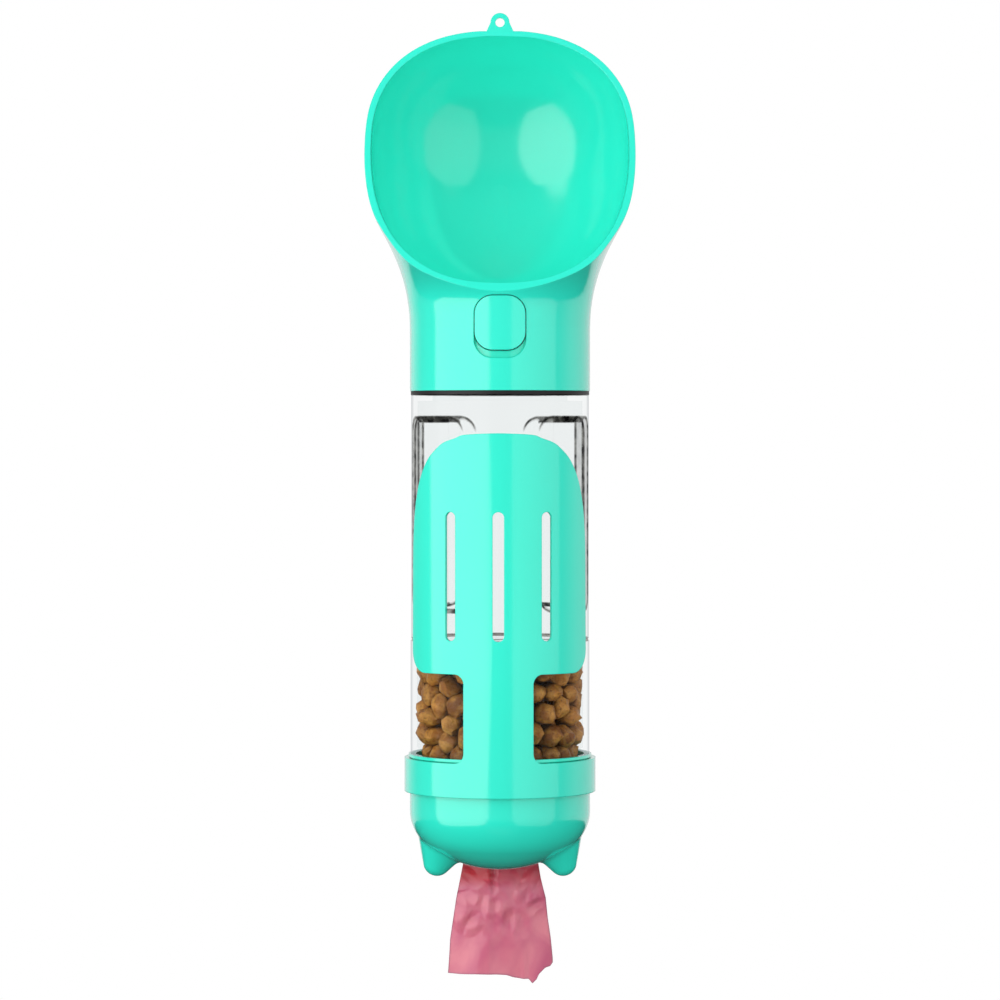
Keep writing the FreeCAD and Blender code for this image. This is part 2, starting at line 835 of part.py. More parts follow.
def springs():
    """The valve spring round the stem, and the two springs that push the button's carriage out."""
    upright = FreeCAD.Rotation()
    forwards = FreeCAD.Rotation(ALONG_X, -90)
    valve = coil(
        "valve_coil",
        "valve_spring_radius",
        "valve_spring_wire",
        "valve_spring_coils",
        "(stem_head_z - cap_top_z - washer_thickness)",
        ("0", "-stem_offset", "cap_top_z + washer_thickness + valve_spring_wire / 2"),
        upright,
    )
    finished(valve, "valve_spring")
    pair = []
    for side in ("-", ""):
        place = (f"{side}button_spring_offset", "carriage_back_y + button_spring_wire / 2", "post_z")
        pair.append(
            coil(
                f"button_coil_{len(pair)}",
                "button_spring_radius",
                "button_spring_wire",
                "button_spring_coils",
                "button_spring_length",
                place,
                forwards,
            )
        )
    both = DOCUMENT.addObject("Part::Compound", "button_coils")
    both.Links = pair
    finished(both, "button_springs")


def press_carriage():
    """The slider behind the button: a boss in the opening, a guided plate and the wedge."""
    boss = common(
        "carriage_boss",
        rounded_block(
            "boss_block",
            "button_width",
            "button_top_z",
            "button_bottom_z",
            "-collar_radius",
            "carriage_front_y + carriage_plate / 2",
            "button_corner",
        ),
        cylinder("boss_limit", "collar_radius - lock_recess", "-bowl_lip_drop", "foot_z"),
    )
    plate = primitive(
        "Box",
        "carriage_panel",
        Length="carriage_width",
        Width="carriage_plate",
        Height="carriage_height",
        x="-carriage_width / 2",
        y="carriage_front_y",
        z="carriage_z - carriage_height / 2",
    )
    wedge = block_along_x(
        "wedge",
        "wedge_width",
        [
            ("carriage_back_y", "wedge_top_z"),
            ("wedge_end_y", "wedge_top_z"),
            ("wedge_end_y", "wedge_nose_z"),
            ("wedge_end_y - wedge_ramp", "wedge_top_z - wedge_height"),
            ("carriage_back_y", "wedge_top_z - wedge_height"),
        ],
    )
    slot = primitive(
        "Box",
        "post_slot",
        Length="post_width + 2 * shaft_gap",
        Width="collar_radius",
        Height="post_width + lock_travel + 2 * slide_gap",
        x="-(post_width / 2 + shaft_gap)",
        y="-collar_radius",
        z="post_z - post_width / 2 - lock_travel - slide_gap",
    )
    whole = fused("carriage_solid", boss, plate, wedge)
    return finished(cut("carriage", whole, slot), "press_carriage")


def block_along_x(name, width, corners):
    """A block whose outline, in Y and Z, is pushed both ways along X."""
    body = DOCUMENT.addObject("PartDesign::Body", name)
    outline = trace(sketch(body, "YZ_Plane", name + "_outline"), corners)
    pad(body, outline, name + "_pad", width, middle=True)
    return body


def water_button():
    """The button: a cap curved like the collar, on a post whose hook holds the carriage."""
    cap = cut(
        "cap_shell",
        common(
            "cap_front",
            rounded_block(
                "cap_block",
                "button_width",
                "button_top_z",
                "button_bottom_z",
                "-(collar_radius + bowl_wall)",
                "0",
                "button_corner",
            ),
            cylinder("cap_outside", "collar_radius + button_proud", "-bowl_lip_drop", "foot_z"),
        ),
        cylinder("cap_inside", "cap_back_radius", "-bowl_lip_drop", "foot_z - overshoot"),
    )
    post = primitive(
        "Box",
        "button_post",
        Length="post_width",
        Width="cap_back_radius + button_thickness / 2 + carriage_back_y + slide_gap + hook_thickness",
        Height="post_width",
        x="-post_width / 2",
        y="-(cap_back_radius + button_thickness / 2)",
        z="post_z - post_width / 2",
    )
    hook = primitive(
        "Box",
        "button_hook",
        Length="hook_width",
        Width="hook_thickness",
        Height="post_width",
        x="-hook_width / 2",
        y="carriage_back_y + slide_gap",
        z="post_z - post_width / 2",
    )
    return finished(fused("button", cap, post, hook), "water_button")


def valve_stem():
    """The stem that the wedge pushes down: a ramped head, a rod and an arm with a peg."""
    body = new_body("valve_stem")
    head = [
        ("stem_head_y", "stem_head_z"),
        ("stem_head_y + stem_head_depth", "stem_head_z"),
        ("stem_head_y + stem_head_depth", "wedge_top_z"),
        ("wedge_end_y + wedge_top_z - wedge_nose_z + ramp_gap", "wedge_top_z"),
        ("stem_head_y", "wedge_nose_z - wedge_end_y - ramp_gap + stem_head_y"),
    ]
    outline = trace(sketch(body, "YZ_Plane", "stem_head_outline"), head)
    pad(body, outline, "stem_head", "stem_head_width", middle=True)
    rod = sketch(body, "XY_Plane", "rod_circle", shift="arm_top_z - arm_thickness")
    trace_circle(rod, "stem_radius", "0", "-stem_offset")
    pad(body, rod, "rod", "stem_head_z + overshoot - (arm_top_z - arm_thickness)")
    arm = sketch(body, "XY_Plane", "arm_outline", shift="arm_top_z - arm_thickness")
    corners = [
        ("-arm_width / 2", "-(stem_offset + arm_width / 2)"),
        ("arm_width / 2", "-(stem_offset + arm_width / 2)"),
        ("arm_width / 2", "outlet_offset + arm_width / 2"),
        ("-arm_width / 2", "outlet_offset + arm_width / 2"),
    ]
    pad(body, trace(arm, corners), "arm", "arm_thickness")
    peg = sketch(body, "XY_Plane", "peg_circle", shift="arm_top_z")
    trace_circle(peg, "plug_peg_radius", "0", "outlet_offset")
    pad(body, peg, "peg", "plug_peg_height")
    return body


def valve_plug():
    """The soft plug under the port, pushed onto the peg."""
    body = new_body("valve_plug")
    outline = sketch(body, "XY_Plane", "plug_outline", shift="arm_top_z")
    trace_circle(outline, "plug_radius", "0", "outlet_offset")
    pad(body, outline, "plug_pad", "plug_height")
    bore = sketch(body, "XY_Plane", "plug_bore", shift="arm_top_z + plug_peg_height + shaft_gap")
    trace_circle(bore, "plug_peg_radius + shaft_gap", "0", "outlet_offset")
    pad(body, bore, "plug_socket", "plug_height", pocket=True)
    return body


# The water bottle, its gaskets and the food container


def grip_outline(inset):
    """Half of a grip's flat outline, from its top middle to its foot, made smaller all round."""
    span = math.radians(value("90 - front_rib_angle / 2 - side_rib_angle / 2"))
    half = value("bottle_radius") * span / 2 - inset
    corner = value("grip_corner") - inset
    top = value("shoulder_z - grip_top_inset") - inset
    foot = value("bottle_base_z + grip_bottom_inset") + inset
    return [
        [(0, top), (half - corner, top)],
        flat_arc(half - corner, top - corner, corner, corner, 90, 0),
        [(half, top - corner), (half, foot + corner)],
        flat_arc(half - corner, foot + corner, corner, corner, 0, -90),
        [(half - corner, foot), (0, foot)],
    ]


def water_bottle():
    """The clear bottle: a neck, a body with four sunk grips, and a stub for the container."""
    body = turned(
        "bottle_turned",
        [
            ("0", "bottle_base_z"),
            ("stub_radius - bottle_stub_wall", "bottle_base_z"),
            ("stub_radius - bottle_stub_wall", "stub_z"),
            ("stub_radius", "stub_z"),
            ("stub_radius", "bottle_base_z"),
            ("bottle_radius", "bottle_base_z"),
            ("bottle_radius", "shoulder_z"),
            ("neck_radius", "shoulder_z"),
            ("neck_radius", "neck_top_z"),
            ("neck_radius - neck_wall", "neck_top_z"),
            ("neck_radius - neck_wall", "shoulder_z - bottle_wall"),
            ("bottle_radius - bottle_wall", "shoulder_z - bottle_wall"),
            ("bottle_radius - bottle_wall", "bottle_base_z + bottle_wall"),
            ("0", "bottle_base_z + bottle_wall"),
        ],
    )
    # each grip's walls slope, so the tool is wider outside the bottle than at the grip's floor
    radius = value("bottle_radius")
    depth = value("grip_depth")
    slope = value("grip_slope")
    floor = (radius - depth, grip_outline(slope))
    outside = (radius + depth, grip_outline(-slope))
    middle = value("(90 + side_rib_angle / 2 - front_rib_angle / 2) / 2")
    grips = []
    for number, turn in enumerate((middle, 180 - middle, 180 + middle, -middle)):
        grips.append(bent_sheet(f"grip_{number}", floor, outside, turn))
    bottle = cut("bottle", body, *grips)
    bottle.Placement.Rotation = FreeCAD.Rotation(ALONG_Z, value("bottle_turn"))
    return finished(bottle, "water_bottle")


def food_container():
    """The clear food container: its foot sits inside the bag box's rim."""
    body = turned(
        "container_turned",
        [
            ("0", "container_foot_z"),
            ("foot_radius", "container_foot_z"),
            ("foot_radius", "container_step_z"),
            ("container_radius", "container_step_z"),
            ("container_radius", "container_top_z"),
            ("container_bore", "container_top_z"),
            ("container_bore", "container_step_z + container_wall"),
            ("foot_radius - container_wall", "container_step_z"),
            ("foot_radius - container_wall", "container_foot_z + container_floor"),
            ("0", "container_foot_z + container_floor"),
        ],
    )
    return finished(body, "food_container")


def kibble():
    """The dry food, as one fill whose side is all lumps: rings of high and low points, set by turns."""
    foot = value("kibble_foot_z")
    top = value("kibble_top_z")
    pitch = value("kibble_pitch")
    count = 2 * round(math.pi * value("container_bore") / pitch)
    levels = max(round((top - foot) / pitch), 2)
    rings = []
    for level in range(levels + 1):
        height = foot + (top - foot) * level / levels
        widest = value("container_bore - kibble_gap")
        if height < value("container_step_z + container_wall + kibble_pitch / 2"):
            widest = value("kibble_foot_radius")
        ring = []
        for step in range(count):
            turn = 2 * math.pi * step / count
            radius = widest - value("kibble_lump") * ((step + level) % 2)
            ring.append(FreeCAD.Vector(radius * math.cos(turn), radius * math.sin(turn), height))
        rings.append(ring)
    faces = [Part.Face(Part.makePolygon(ring + ring[:1])) for ring in (rings[0], rings[-1])]
    for level, (low, high) in enumerate(zip(rings, rings[1:])):
        for step in range(count):
            following = (step + 1) % count
            a, b, c, d = low[step], low[following], high[following], high[step]
            if (step + level) % 2:
                halves = ((a, b, d), (b, c, d))
            else:
                halves = ((a, b, c), (a, c, d))
            faces += [Part.Face(Part.makePolygon([*corners, corners[0]])) for corners in halves]
    shell = Part.makeShell(faces)
    shell.sewShape()
    fill = DOCUMENT.addObject("Part::Feature", "kibble_fill")
    fill.Shape = Part.Solid(shell)
    return finished(fill, "kibble")


# The bag box, its roll of bags and the bag that hangs out


def dome_outline(name, inset):
    """The box's turned form, inset from its outside: a straight wall, a corner arc and a crown arc."""
    body = DOCUMENT.addObject("PartDesign::Body", name)
    item = sketch(body, "XZ_Plane", name + "_profile")
    top = value("box_top_z + overshoot" if inset else "box_top_z")
    dome = value("dome_z")
    crown = value("crown_z")
    radius = value("box_radius") - inset
    corner = value("box_corner_radius") - inset
    big = value("box_crown_radius") - inset
    corner_x = radius - corner
    meet = math.atan2(corner_x, crown - dome)
    join = FreeCAD.Vector(big * math.sin(meet), crown - big * math.cos(meet), 0)
    middle = (math.pi / 2 + meet) / 2
    corner_middle = FreeCAD.Vector(corner_x + corner * math.sin(middle), dome - corner * math.cos(middle), 0)
    crown_middle = FreeCAD.Vector(big * math.sin(meet / 2), crown - big * math.cos(meet / 2), 0)
    bottom = FreeCAD.Vector(0, crown - big, 0)
    wall_end = FreeCAD.Vector(radius, dome, 0)
    wall_top = FreeCAD.Vector(radius, top, 0)
    middle_top = FreeCAD.Vector(0, top, 0)
    item.addGeometry(
        [
            Part.LineSegment(middle_top, wall_top),
            Part.LineSegment(wall_top, wall_end),
            Part.Arc(wall_end, corner_middle, join),
            Part.Arc(join, crown_middle, bottom),
            Part.LineSegment(bottom, middle_top),
        ],
        False,
    )
    revolve(body, item, name + "_turned")
    return body


def ear(name, side, inset):
    """One ear: a cone round a leaning line, rounded by a ball at its tip, inset from its outside."""
    lean = math.radians(value("ear_lean"))
    half = math.radians(value("ear_half_angle"))
    tip = value("ear_tip_radius") - inset
    length = value("ear_length")
    start = -tip * math.sin(half)
    level = value("dome_bottom_z - ear_tip_drop + ear_tip_radius")
    place = FreeCAD.Vector(side * value("ear_offset"), 0, level)
    axis = FreeCAD.Vector(-side * math.sin(lean), 0, math.cos(lean))
    turn = FreeCAD.Rotation(ALONG_Z, axis)
    cone = DOCUMENT.addObject("Part::Cone", name + "_cone")
    cone.Radius1 = tip * math.cos(half)
    cone.Radius2 = tip * math.cos(half) + (length - start) * math.tan(half)
    cone.Height = length - start
    cone.Placement = FreeCAD.Placement(place + axis * start, turn)
    ball = DOCUMENT.addObject("Part::Sphere", name + "_ball")
    ball.Radius = tip
    ball.Placement = FreeCAD.Placement(place, FreeCAD.Rotation())
    return [cone, ball]


def ear_blends(solid):
    """Rounds the inner edges along which the ears grow out of the dome."""
    DOCUMENT.recompute()
    lowest = value("dome_bottom_z")
    highest = value("dome_z")
    radius = value("ear_blend")
    edges = []
    for number, edge in enumerate(solid.Shape.Edges, 1):
        box = edge.BoundBox
        inside = lowest < box.ZMin and box.ZMax < highest
        if inside and min(box.YLength, box.ZLength) > SHORT_EDGE:
            edges.append((number, radius, radius))
    blended = DOCUMENT.addObject("Part::Fillet", "box_blended")
    blended.Base = solid
    blended.Edges = edges
    return blended


def bag_box():
    """The box for the bags: a domed cup with two hollow ears and a slot between them."""
    rim = cylinder("box_rim", "box_rim_radius", "box_top_z", "box_top_z - box_rim_height")
    outside = [dome_outline("box_outside", 0.0), rim, *ear("left_ear", -1, 0.0), *ear("right_ear", 1, 0.0)]
    wall = value("box_wall")
    inside = [dome_outline("box_inside", wall)]
    inside += [ear("left_hollow", -1, wall)[0], ear("right_hollow", 1, wall)[0]]
    slot_body = DOCUMENT.addObject("PartDesign::Body", "bag_slot")
    slot = sketch(slot_body, "XY_Plane", "slot_outline", shift="dome_bottom_z - box_wall")
    pad(slot_body, trace_stadium(slot, "slot_length", "slot_width"), "slot_pad", "box_corner_radius")
    solid = ear_blends(fused("box_solid", *outside))
    hollow = fused("box_hollow", *inside, slot_body)
    return finished(cut("box", solid, hollow), "bag_box")


def along_x(name, outer, inner, length):
    """A tube lying along X at the roll's height."""
    tubes = []
    start = f"-({length}) / 2"
    for role, radius in (("outside", outer), ("bore", inner)):
        tube = primitive("Cylinder", f"{name}_{role}", Radius=radius, Height=length, x=start, z="roll_z")
        tube.Placement.Rotation = FreeCAD.Rotation(FreeCAD.Vector(0, 1, 0), 90)
        tubes.append(tube)
    return finished(cut(name + "_tube", *tubes), name)


def film_section(name, level, width):
    """One level outline of the film: flat pleats, with its thickness along Y."""
    pleat = value("tail_pleat")
    front = []
    for fold in range(FILM_PLEATS + 1):
        across = width * (fold / FILM_PLEATS - 0.5)
        front.append(FreeCAD.Vector(across, pleat * (-1) ** fold - value("tail_thickness") / 2, level))
    back = [point + FreeCAD.Vector(0, value("tail_thickness"), 0) for point in reversed(front)]
    outline = DOCUMENT.addObject("Part::Feature", name)
    outline.Shape = Part.makePolygon(front + back + front[:1])
    return outline


def bag_tail():
    """The end of the last bag: a pleated film that hangs from the roll, out through the slot."""
    top = value("roll_z - roll_radius - slide_gap")
    tip = value("dome_bottom_z - tail_length")
    film = loft(
        "film",
        [
            film_section("film_top", top, value("tail_top_width")),
            film_section("film_foot", tip, value("tail_bottom_width")),
        ],
    )
    film.Ruled = True
    # the torn edge is lowest right of the middle
    torn = DOCUMENT.addObject("PartDesign::Body", "torn_outline")
    corners = [
        ("-tail_bottom_width / 2", "dome_bottom_z - tail_length + tail_left_tear"),
        ("tail_tip_offset", "dome_bottom_z - tail_length"),
        ("tail_bottom_width / 2", "dome_bottom_z - tail_length + tail_right_tear"),
        ("tail_bottom_width / 2", "roll_z"),
        ("-tail_bottom_width / 2", "roll_z"),
    ]
    front = trace(sketch(torn, "XZ_Plane", "torn_profile"), corners)
    pad(torn, front, "torn_block", "4 * (tail_pleat + tail_thickness)", middle=True)
    return finished(common("torn_film", film, torn), "bag_tail")


# The scoop: one sheet bent round the bottle, on a ring that slides over the bag box


def blade_outline():
    """Half the scoop's flat outline, from its top middle to its foot on the ring."""
    foot = value("blade_foot_z")
    shoulder = value("blade_shoulder")
    shoulder_z = value("blade_top_z") - shoulder
    half = value("blade_half_width")
    foot_half = value("blade_foot_half_width")
    corner = value("blade_corner")
    neck = value("scoop_neck_half_width")
    fillet = value("scoop_neck_fillet")
    ring = value("ring_top_z")
    bend = 2 / value("blade_fullness")
    crown = []
    for x, y in flat_arc(0, 0, 1, 1, 90, 0):
        crown.append((half * abs(x) ** bend, shoulder_z + shoulder * abs(y) ** bend))
    return [
        crown,
        [(half, shoulder_z), (foot_half, foot + corner)],
        flat_arc(foot_half - corner, foot + corner, corner, corner, 0, -90),
        [(foot_half - corner, foot), (neck + fillet, foot)],
        flat_arc(neck + fillet, foot - fillet, fillet, fillet, 90, 180),
        [(neck, foot - fillet), (neck, ring + fillet)],
        flat_arc(neck + fillet, ring + fillet, fillet, fillet, 180, 270),
        [(neck + fillet, ring), (neck + fillet, ring - fillet)],
        [(neck + fillet, ring - fillet), (0, ring - fillet)],
    ]


def scoop():
    """The scoop: its blade with three slits, its neck and its ring, all one moulding."""
    outer = value("scoop_radius")
    outline = blade_outline()
    sheet = bent_sheet("scoop_sheet", (outer - value("blade_wall"), outline), (outer, outline), FRONT)
    ring = cut(
        "scoop_ring",
        cylinder("ring_outside", "scoop_radius", "ring_top_z", "ring_top_z - ring_height"),
        cylinder(
            "ring_inside", "ring_bore", "ring_top_z + overshoot", "ring_top_z - ring_height - overshoot"
        ),
    )
    slits = []
    for number, side in enumerate((-1, 0, 1)):
        slit = rounded_block(
            f"slit_{number}",
            "slit_width",
            "blade_top_z - slit_top_inset",
            "blade_top_z - slit_top_inset - slit_length",
            "-(scoop_radius + scoop_wall)",
            "-(ring_bore - 2 * scoop_wall)",
            "slit_width / 2 - shaft_gap",
        )
        slit.Placement.Rotation = FreeCAD.Rotation(ALONG_Z, side * value("slit_spread") / 2)
        slits.append(slit)
    whole = cut("scoop", fused("scoop_solid", sheet, ring), *slits)
    whole.Placement.Rotation = FreeCAD.Rotation(ALONG_Z, -value("scoop_turn"))
    return finished(whole, "scoop")


def main():
    os.makedirs("parts", exist_ok=True)
    fill_sheet()
    drinking_head()
    neck_cap()
    flat_ring(
        "outlet_seal",
        "outlet_radius + outlet_wall",
        "outlet_radius",
        "cap_top_z + outlet_seal_height",
        "outlet_seal_height",
        "outlet_offset",
    )
    flat_ring(
        "stem_seal",
        "gland_radius - shaft_gap",
        "stem_radius + shaft_gap",
        "cap_top_z - gland_depth + seal_height",
        "seal_height",
        "-stem_offset",
    )
    flat_ring(
        "gland_washer",
        "washer_radius",
        "stem_radius + shaft_gap",
        "cap_top_z + washer_thickness",
        "washer_thickness",
        "-stem_offset",
    )
    springs()
    press_carriage()
    water_button()
    valve_stem()
    valve_plug()
    flat_ring(
        "head_gasket",
        "collar_radius - head_gasket_inset",
        "neck_radius + neck_gap",
        "foot_z",
        "head_gasket_height",
    )
    water_bottle()
    flat_ring(
        "container_gasket",
        "container_radius - seam_gasket_inset",
        "stub_radius + seat_gap",
        "bottle_base_z",
        "seam_gasket_height",
    )
    food_container()
    kibble()
    bag_box()
    along_x("bag_roll", "roll_radius", "core_radius + seat_gap", "roll_length")
    along_x("roll_core", "core_radius", "core_radius - core_wall", "roll_length + 2 * core_overhang")
    bag_tail()
    scoop()
    DOCUMENT.recompute()
    report_faults()
    for item in PARTS:
        item.Shape.exportStep(f"parts/{item.Label}.step")


def report_faults():
    """Stops the build when any object has failed or any sub-part isn't a sound solid."""
    faults = [item.Name for item in DOCUMENT.Objects if "Invalid" in item.State or "Error" in item.State]
    for item in PARTS:
        if item.Shape.isNull() or not item.Shape.isValid() or not item.Shape.Solids:
            faults.append(item.Label)
    if faults:
        raise RuntimeError("Unsound: " + ", ".join(faults))


main()
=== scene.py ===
"""The looks of a pet's travel drinking bottle, in metres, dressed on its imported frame."""

import math

import bpy
import numpy as np
from mathutils import Matrix, Vector


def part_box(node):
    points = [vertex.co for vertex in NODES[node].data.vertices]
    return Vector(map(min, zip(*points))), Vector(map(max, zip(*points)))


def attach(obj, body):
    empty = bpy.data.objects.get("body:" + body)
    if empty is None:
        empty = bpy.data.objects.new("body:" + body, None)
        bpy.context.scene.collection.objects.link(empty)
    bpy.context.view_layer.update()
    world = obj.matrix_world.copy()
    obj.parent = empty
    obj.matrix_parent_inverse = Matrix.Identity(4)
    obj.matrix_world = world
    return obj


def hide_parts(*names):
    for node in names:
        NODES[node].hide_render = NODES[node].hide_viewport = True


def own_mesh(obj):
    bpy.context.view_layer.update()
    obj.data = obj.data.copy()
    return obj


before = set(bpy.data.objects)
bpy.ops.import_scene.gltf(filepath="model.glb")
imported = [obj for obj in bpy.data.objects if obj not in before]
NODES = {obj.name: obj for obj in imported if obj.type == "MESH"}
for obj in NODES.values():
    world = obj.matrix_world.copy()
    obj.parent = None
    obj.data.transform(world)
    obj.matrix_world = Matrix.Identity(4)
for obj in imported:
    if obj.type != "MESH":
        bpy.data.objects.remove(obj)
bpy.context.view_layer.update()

MM = 0.001
# points nearer to each other than this are one
MERGE_DISTANCE = 0.001 * MM

# The photograph's frame: 350 mm across at the bottle's axis, from 1347 mm in front of it
VIEW_WIDTH = 350 * MM
VIEW_DISTANCE = 1347 * MM
CAMERA_HEIGHT = -142.2 * MM
AIM_HEIGHT = -166.7 * MM
SENSOR_WIDTH = 36.0

# The room, in metres: a white backdrop behind the bottle, a dimmer room on the camera's side, and a
# floor below. A level is a brightness, where 1 is white
FLOOR_HEIGHT = -0.55
FLOOR_RADIUS = 1.2
LIGHT_DISTANCE = 0.62
LIGHT_AIM = -0.16
SKY_LEVEL = 0.65
ROOM_LEVEL = 0.2
BACKDROP_LEVEL = 0.75
BELOW_LEVEL = 0.15
CEILING_LEVEL = 0.3

# The dry food: its pieces are about 9 mm, and lie in the foot's narrower bore up to the step
FOOD_COUNT = 235
FOOD_RADIUS = 4.45 * MM
FOOD_SIZES = (0.86, 1.08)
FOOD_STRETCH = (1.12, 0.98, 0.84)
FOOD_LUMPS = 6
FOOD_STEP = 5.6 * MM
# how it is packed: the share of the radius that it starts in, the rounds of pushing, the share of an
# overlap that a piece moves by in each, and how far it sinks; then how near it may come to its
# neighbours, the floor and the wall, as shares of its size
FOOD_SPREAD = 0.86
FOOD_ROUNDS = 260
FOOD_PUSH = 0.32
FOOD_SINK = 0.02 * MM
FOOD_TOUCH = 0.95
FOOD_BASE = 0.8
FOOD_SIDE = 0.84

# The water bottle's sizes, in mm: its radii and levels, which are the CAD bottle's, and its grips,
# with the radius of a corner, the width of a step's slope and, in degrees, the angles
BOTTLE_RADIUS = 31.05
BOTTLE_WALL = 2.2
SHOULDER_LEVEL = -129.9
BASE_LEVEL = -214.9
NECK_RADIUS = 25.8
NECK_TOP = -118.4
STUB_RADIUS = 28.3
STUB_FOOT = -221.9
GRIP_TOP = -137.1
GRIP_FOOT = -205.3
GRIP_CORNER = 6.4
GRIP_DEPTH = 1.2
GRIP_STEP = 1.35
GRIP_SHELF = 6.2
GRIP_HALF_ANGLE = 30.25
GRIP_ANGLES = (45.25, 144.75, 225.25, 324.75)
# its mesh: steps round the axis, the height of a row, and how near a place counts as on a wall
BOTTLE_STEPS = 384
BOTTLE_ROW = 0.55
BOTTLE_NEAR = 0.1
# the food container's bore, and one so wide that all of a piece counts as inside it
CUP_BORE = 29.6
WHOLE_BORE = 1000.0


def linear(code):
    """A colour written as an sRGB hex value, as linear red, green, blue and alpha."""
    parts = [int(code[i : i + 2], 16) / 255 for i in (1, 3, 5)]
    return [c / 12.92 if c <= 0.04045 else ((c + 0.055) / 1.055) ** 2.4 for c in parts] + [1.0]


def deselect():
    """Leaves nothing selected, so that the next operator acts on its own piece only."""
    bpy.ops.object.select_all(action="DESELECT")


def new_object(name, mesh):
    """A mesh's object in the scene, selected on its own."""
    thing = bpy.data.objects.new(name, mesh)
    bpy.context.scene.collection.objects.link(thing)
    deselect()
    thing.select_set(True)
    bpy.context.view_layer.objects.active = thing
    return thing


def mark(mesh, name, amounts):
    """Gives each point of a mesh a number, which its material reads."""
    values = mesh.attributes.new(name, "FLOAT", "POINT")
    values.data.foreach_set("value", np.array(amounts, np.float32))


def new_material(name):
    """A material with an empty node tree, and that tree."""
    material = bpy.data.materials.new(name)
    material.use_nodes = True
    tree = material.node_tree
    tree.nodes.clear()
    return material, tree


def add(tree, kind, inputs=None, **settings):
    """Adds a node with its settings; an input is a value, or the output that feeds it."""
    node = tree.nodes.new("ShaderNode" + kind)
    for name, setting in settings.items():
        setattr(node, name, setting)
    for name, given in (inputs or {}).items():
        if isinstance(given, bpy.types.NodeSocket):
            tree.links.new(given, node.inputs[name])
        else:
            node.inputs[name].default_value = given
    return node


def dress(material, *names):
    """Gives CAD nodes or pieces a material in their own slots."""
    for name in names:
        thing = NODES[name] if isinstance(name, str) else name
        thing.data.materials.clear()
        thing.data.materials.append(material)


# Camera, light and stage


def camera():
    """The photograph's view of the bottle, with the colours shown as they are."""
    place = Vector((0, -VIEW_DISTANCE, CAMERA_HEIGHT))
    aim = Vector((0, 0, AIM_HEIGHT))
    turn = (aim - place).to_track_quat("-Z", "Y").to_euler()
    bpy.ops.object.camera_add(location=place, rotation=turn)
    eye = bpy.context.object
    eye.data.sensor_width = SENSOR_WIDTH
    eye.data.lens = SENSOR_WIDTH * VIEW_DISTANCE / VIEW_WIDTH
    bpy.context.scene.camera = eye
    bpy.context.scene.view_settings.view_transform = "Standard"


def soft_box(name, azimuth, elevation, width, height, level, middle=LIGHT_AIM, distance=LIGHT_DISTANCE):
    """An oval lamp that faces the bottle. Azimuth 0 is the camera's side; level is its brightness."""
    turn = math.radians(azimuth)
    rise = math.radians(elevation)
    aim = Vector((0, 0, middle))
    way = Vector((math.sin(turn) * math.cos(rise), -math.cos(turn) * math.cos(rise), math.sin(rise)))
    bpy.ops.object.light_add(type="AREA", location=aim + way * distance)
    lamp = bpy.context.object
    lamp.name = name
    lamp.rotation_euler = (-way).to_track_quat("-Z", "Y").to_euler()
    lamp.data.shape = "ELLIPSE"
    lamp.data.size = width
    lamp.data.size_y = height
    # its power: brightness times pi times its oval area
    lamp.data.energy = level * math.pi * width * height * math.pi / 4
    lamp.visible_camera = False
    return lamp


def lights():
    """Two tall lamps at the sides, the left one stronger, and two small ones above and below."""
    soft_box("key_box", -51, 0, 0.98, 1.15, 1.45)
    soft_box("fill_box", 44, 0, 0.72, 1.15, 0.6)
    overhead = soft_box("overhead_box", -8, 66, 0.6, 0.4, 1.3)
    overhead.visible_glossy = False
    # a narrow lamp from low in front, for the hood's underside
    low = soft_box("low_box", 0, -55, 0.12, 0.12, 0.3, middle=-0.095, distance=0.3)
    low.data.spread = math.radians(60)
    low.visible_glossy = False


def sky():
    """A white room: white where it is seen, as bright as its sides where mirrored, plain elsewhere."""
    world = bpy.data.worlds.new("studio")
    bpy.context.scene.world = world
    world.use_nodes = True
    tree = world.node_tree
    tree.nodes.clear()
    path = add(tree, "LightPath")
    seen = {0: path.outputs["Is Camera Ray"], 1: path.outputs["Is Transmission Ray"]}
    shown = add(tree, "Math", seen, operation="MAXIMUM")
    way = add(tree, "SeparateXYZ", {0: add(tree, "TexCoord").outputs["Generated"]})
    # the backdrop is the bright side, and reaches further round on the right
    across = add(tree, "Math", {0: way.outputs[0], 1: 0.4, 2: way.outputs[1]}, operation="MULTIPLY_ADD")
    reach = {"From Min": 0.15, "From Max": 0.6, "To Min": ROOM_LEVEL, "To Max": BACKDROP_LEVEL}
    behind = add(tree, "MapRange", {"Value": across.outputs[0], **reach})
    # it is dimmer far below, and towards the ceiling
    fall = {"From Min": -0.6, "From Max": -0.2, "To Min": BELOW_LEVEL}
    above = add(tree, "MapRange", {"Value": way.outputs[2], **fall})
    rise = {"From Min": 0.2, "From Max": 0.5, "To Min": 1.0, "To Max": CEILING_LEVEL}
    under = add(tree, "MapRange", {"Value": way.outputs[2], **rise})
    lit = add(tree, "Math", {0: above.outputs[0], 1: under.outputs[0]}, operation="MULTIPLY")
    mirrored = add(tree, "Math", {0: behind.outputs[0], 1: lit.outputs[0]}, operation="MULTIPLY")
    light = add(tree, "Background", {"Color": linear("#FFFFFF"), "Strength": SKY_LEVEL})
    room = add(tree, "Background", {"Color": linear("#FFFFFF"), "Strength": mirrored.outputs[0]})
    white = add(tree, "Background", {"Color": linear("#FFFFFF"), "Strength": 1.0})
    glossy = path.outputs["Is Glossy Ray"]
    unseen = add(tree, "MixShader", {0: glossy, 1: light.outputs[0], 2: room.outputs[0]})
    mixed = add(tree, "MixShader", {0: shown.outputs[0], 1: unseen.outputs[0], 2: white.outputs[0]})
    add(tree, "OutputWorld", {"Surface": mixed.outputs[0]})


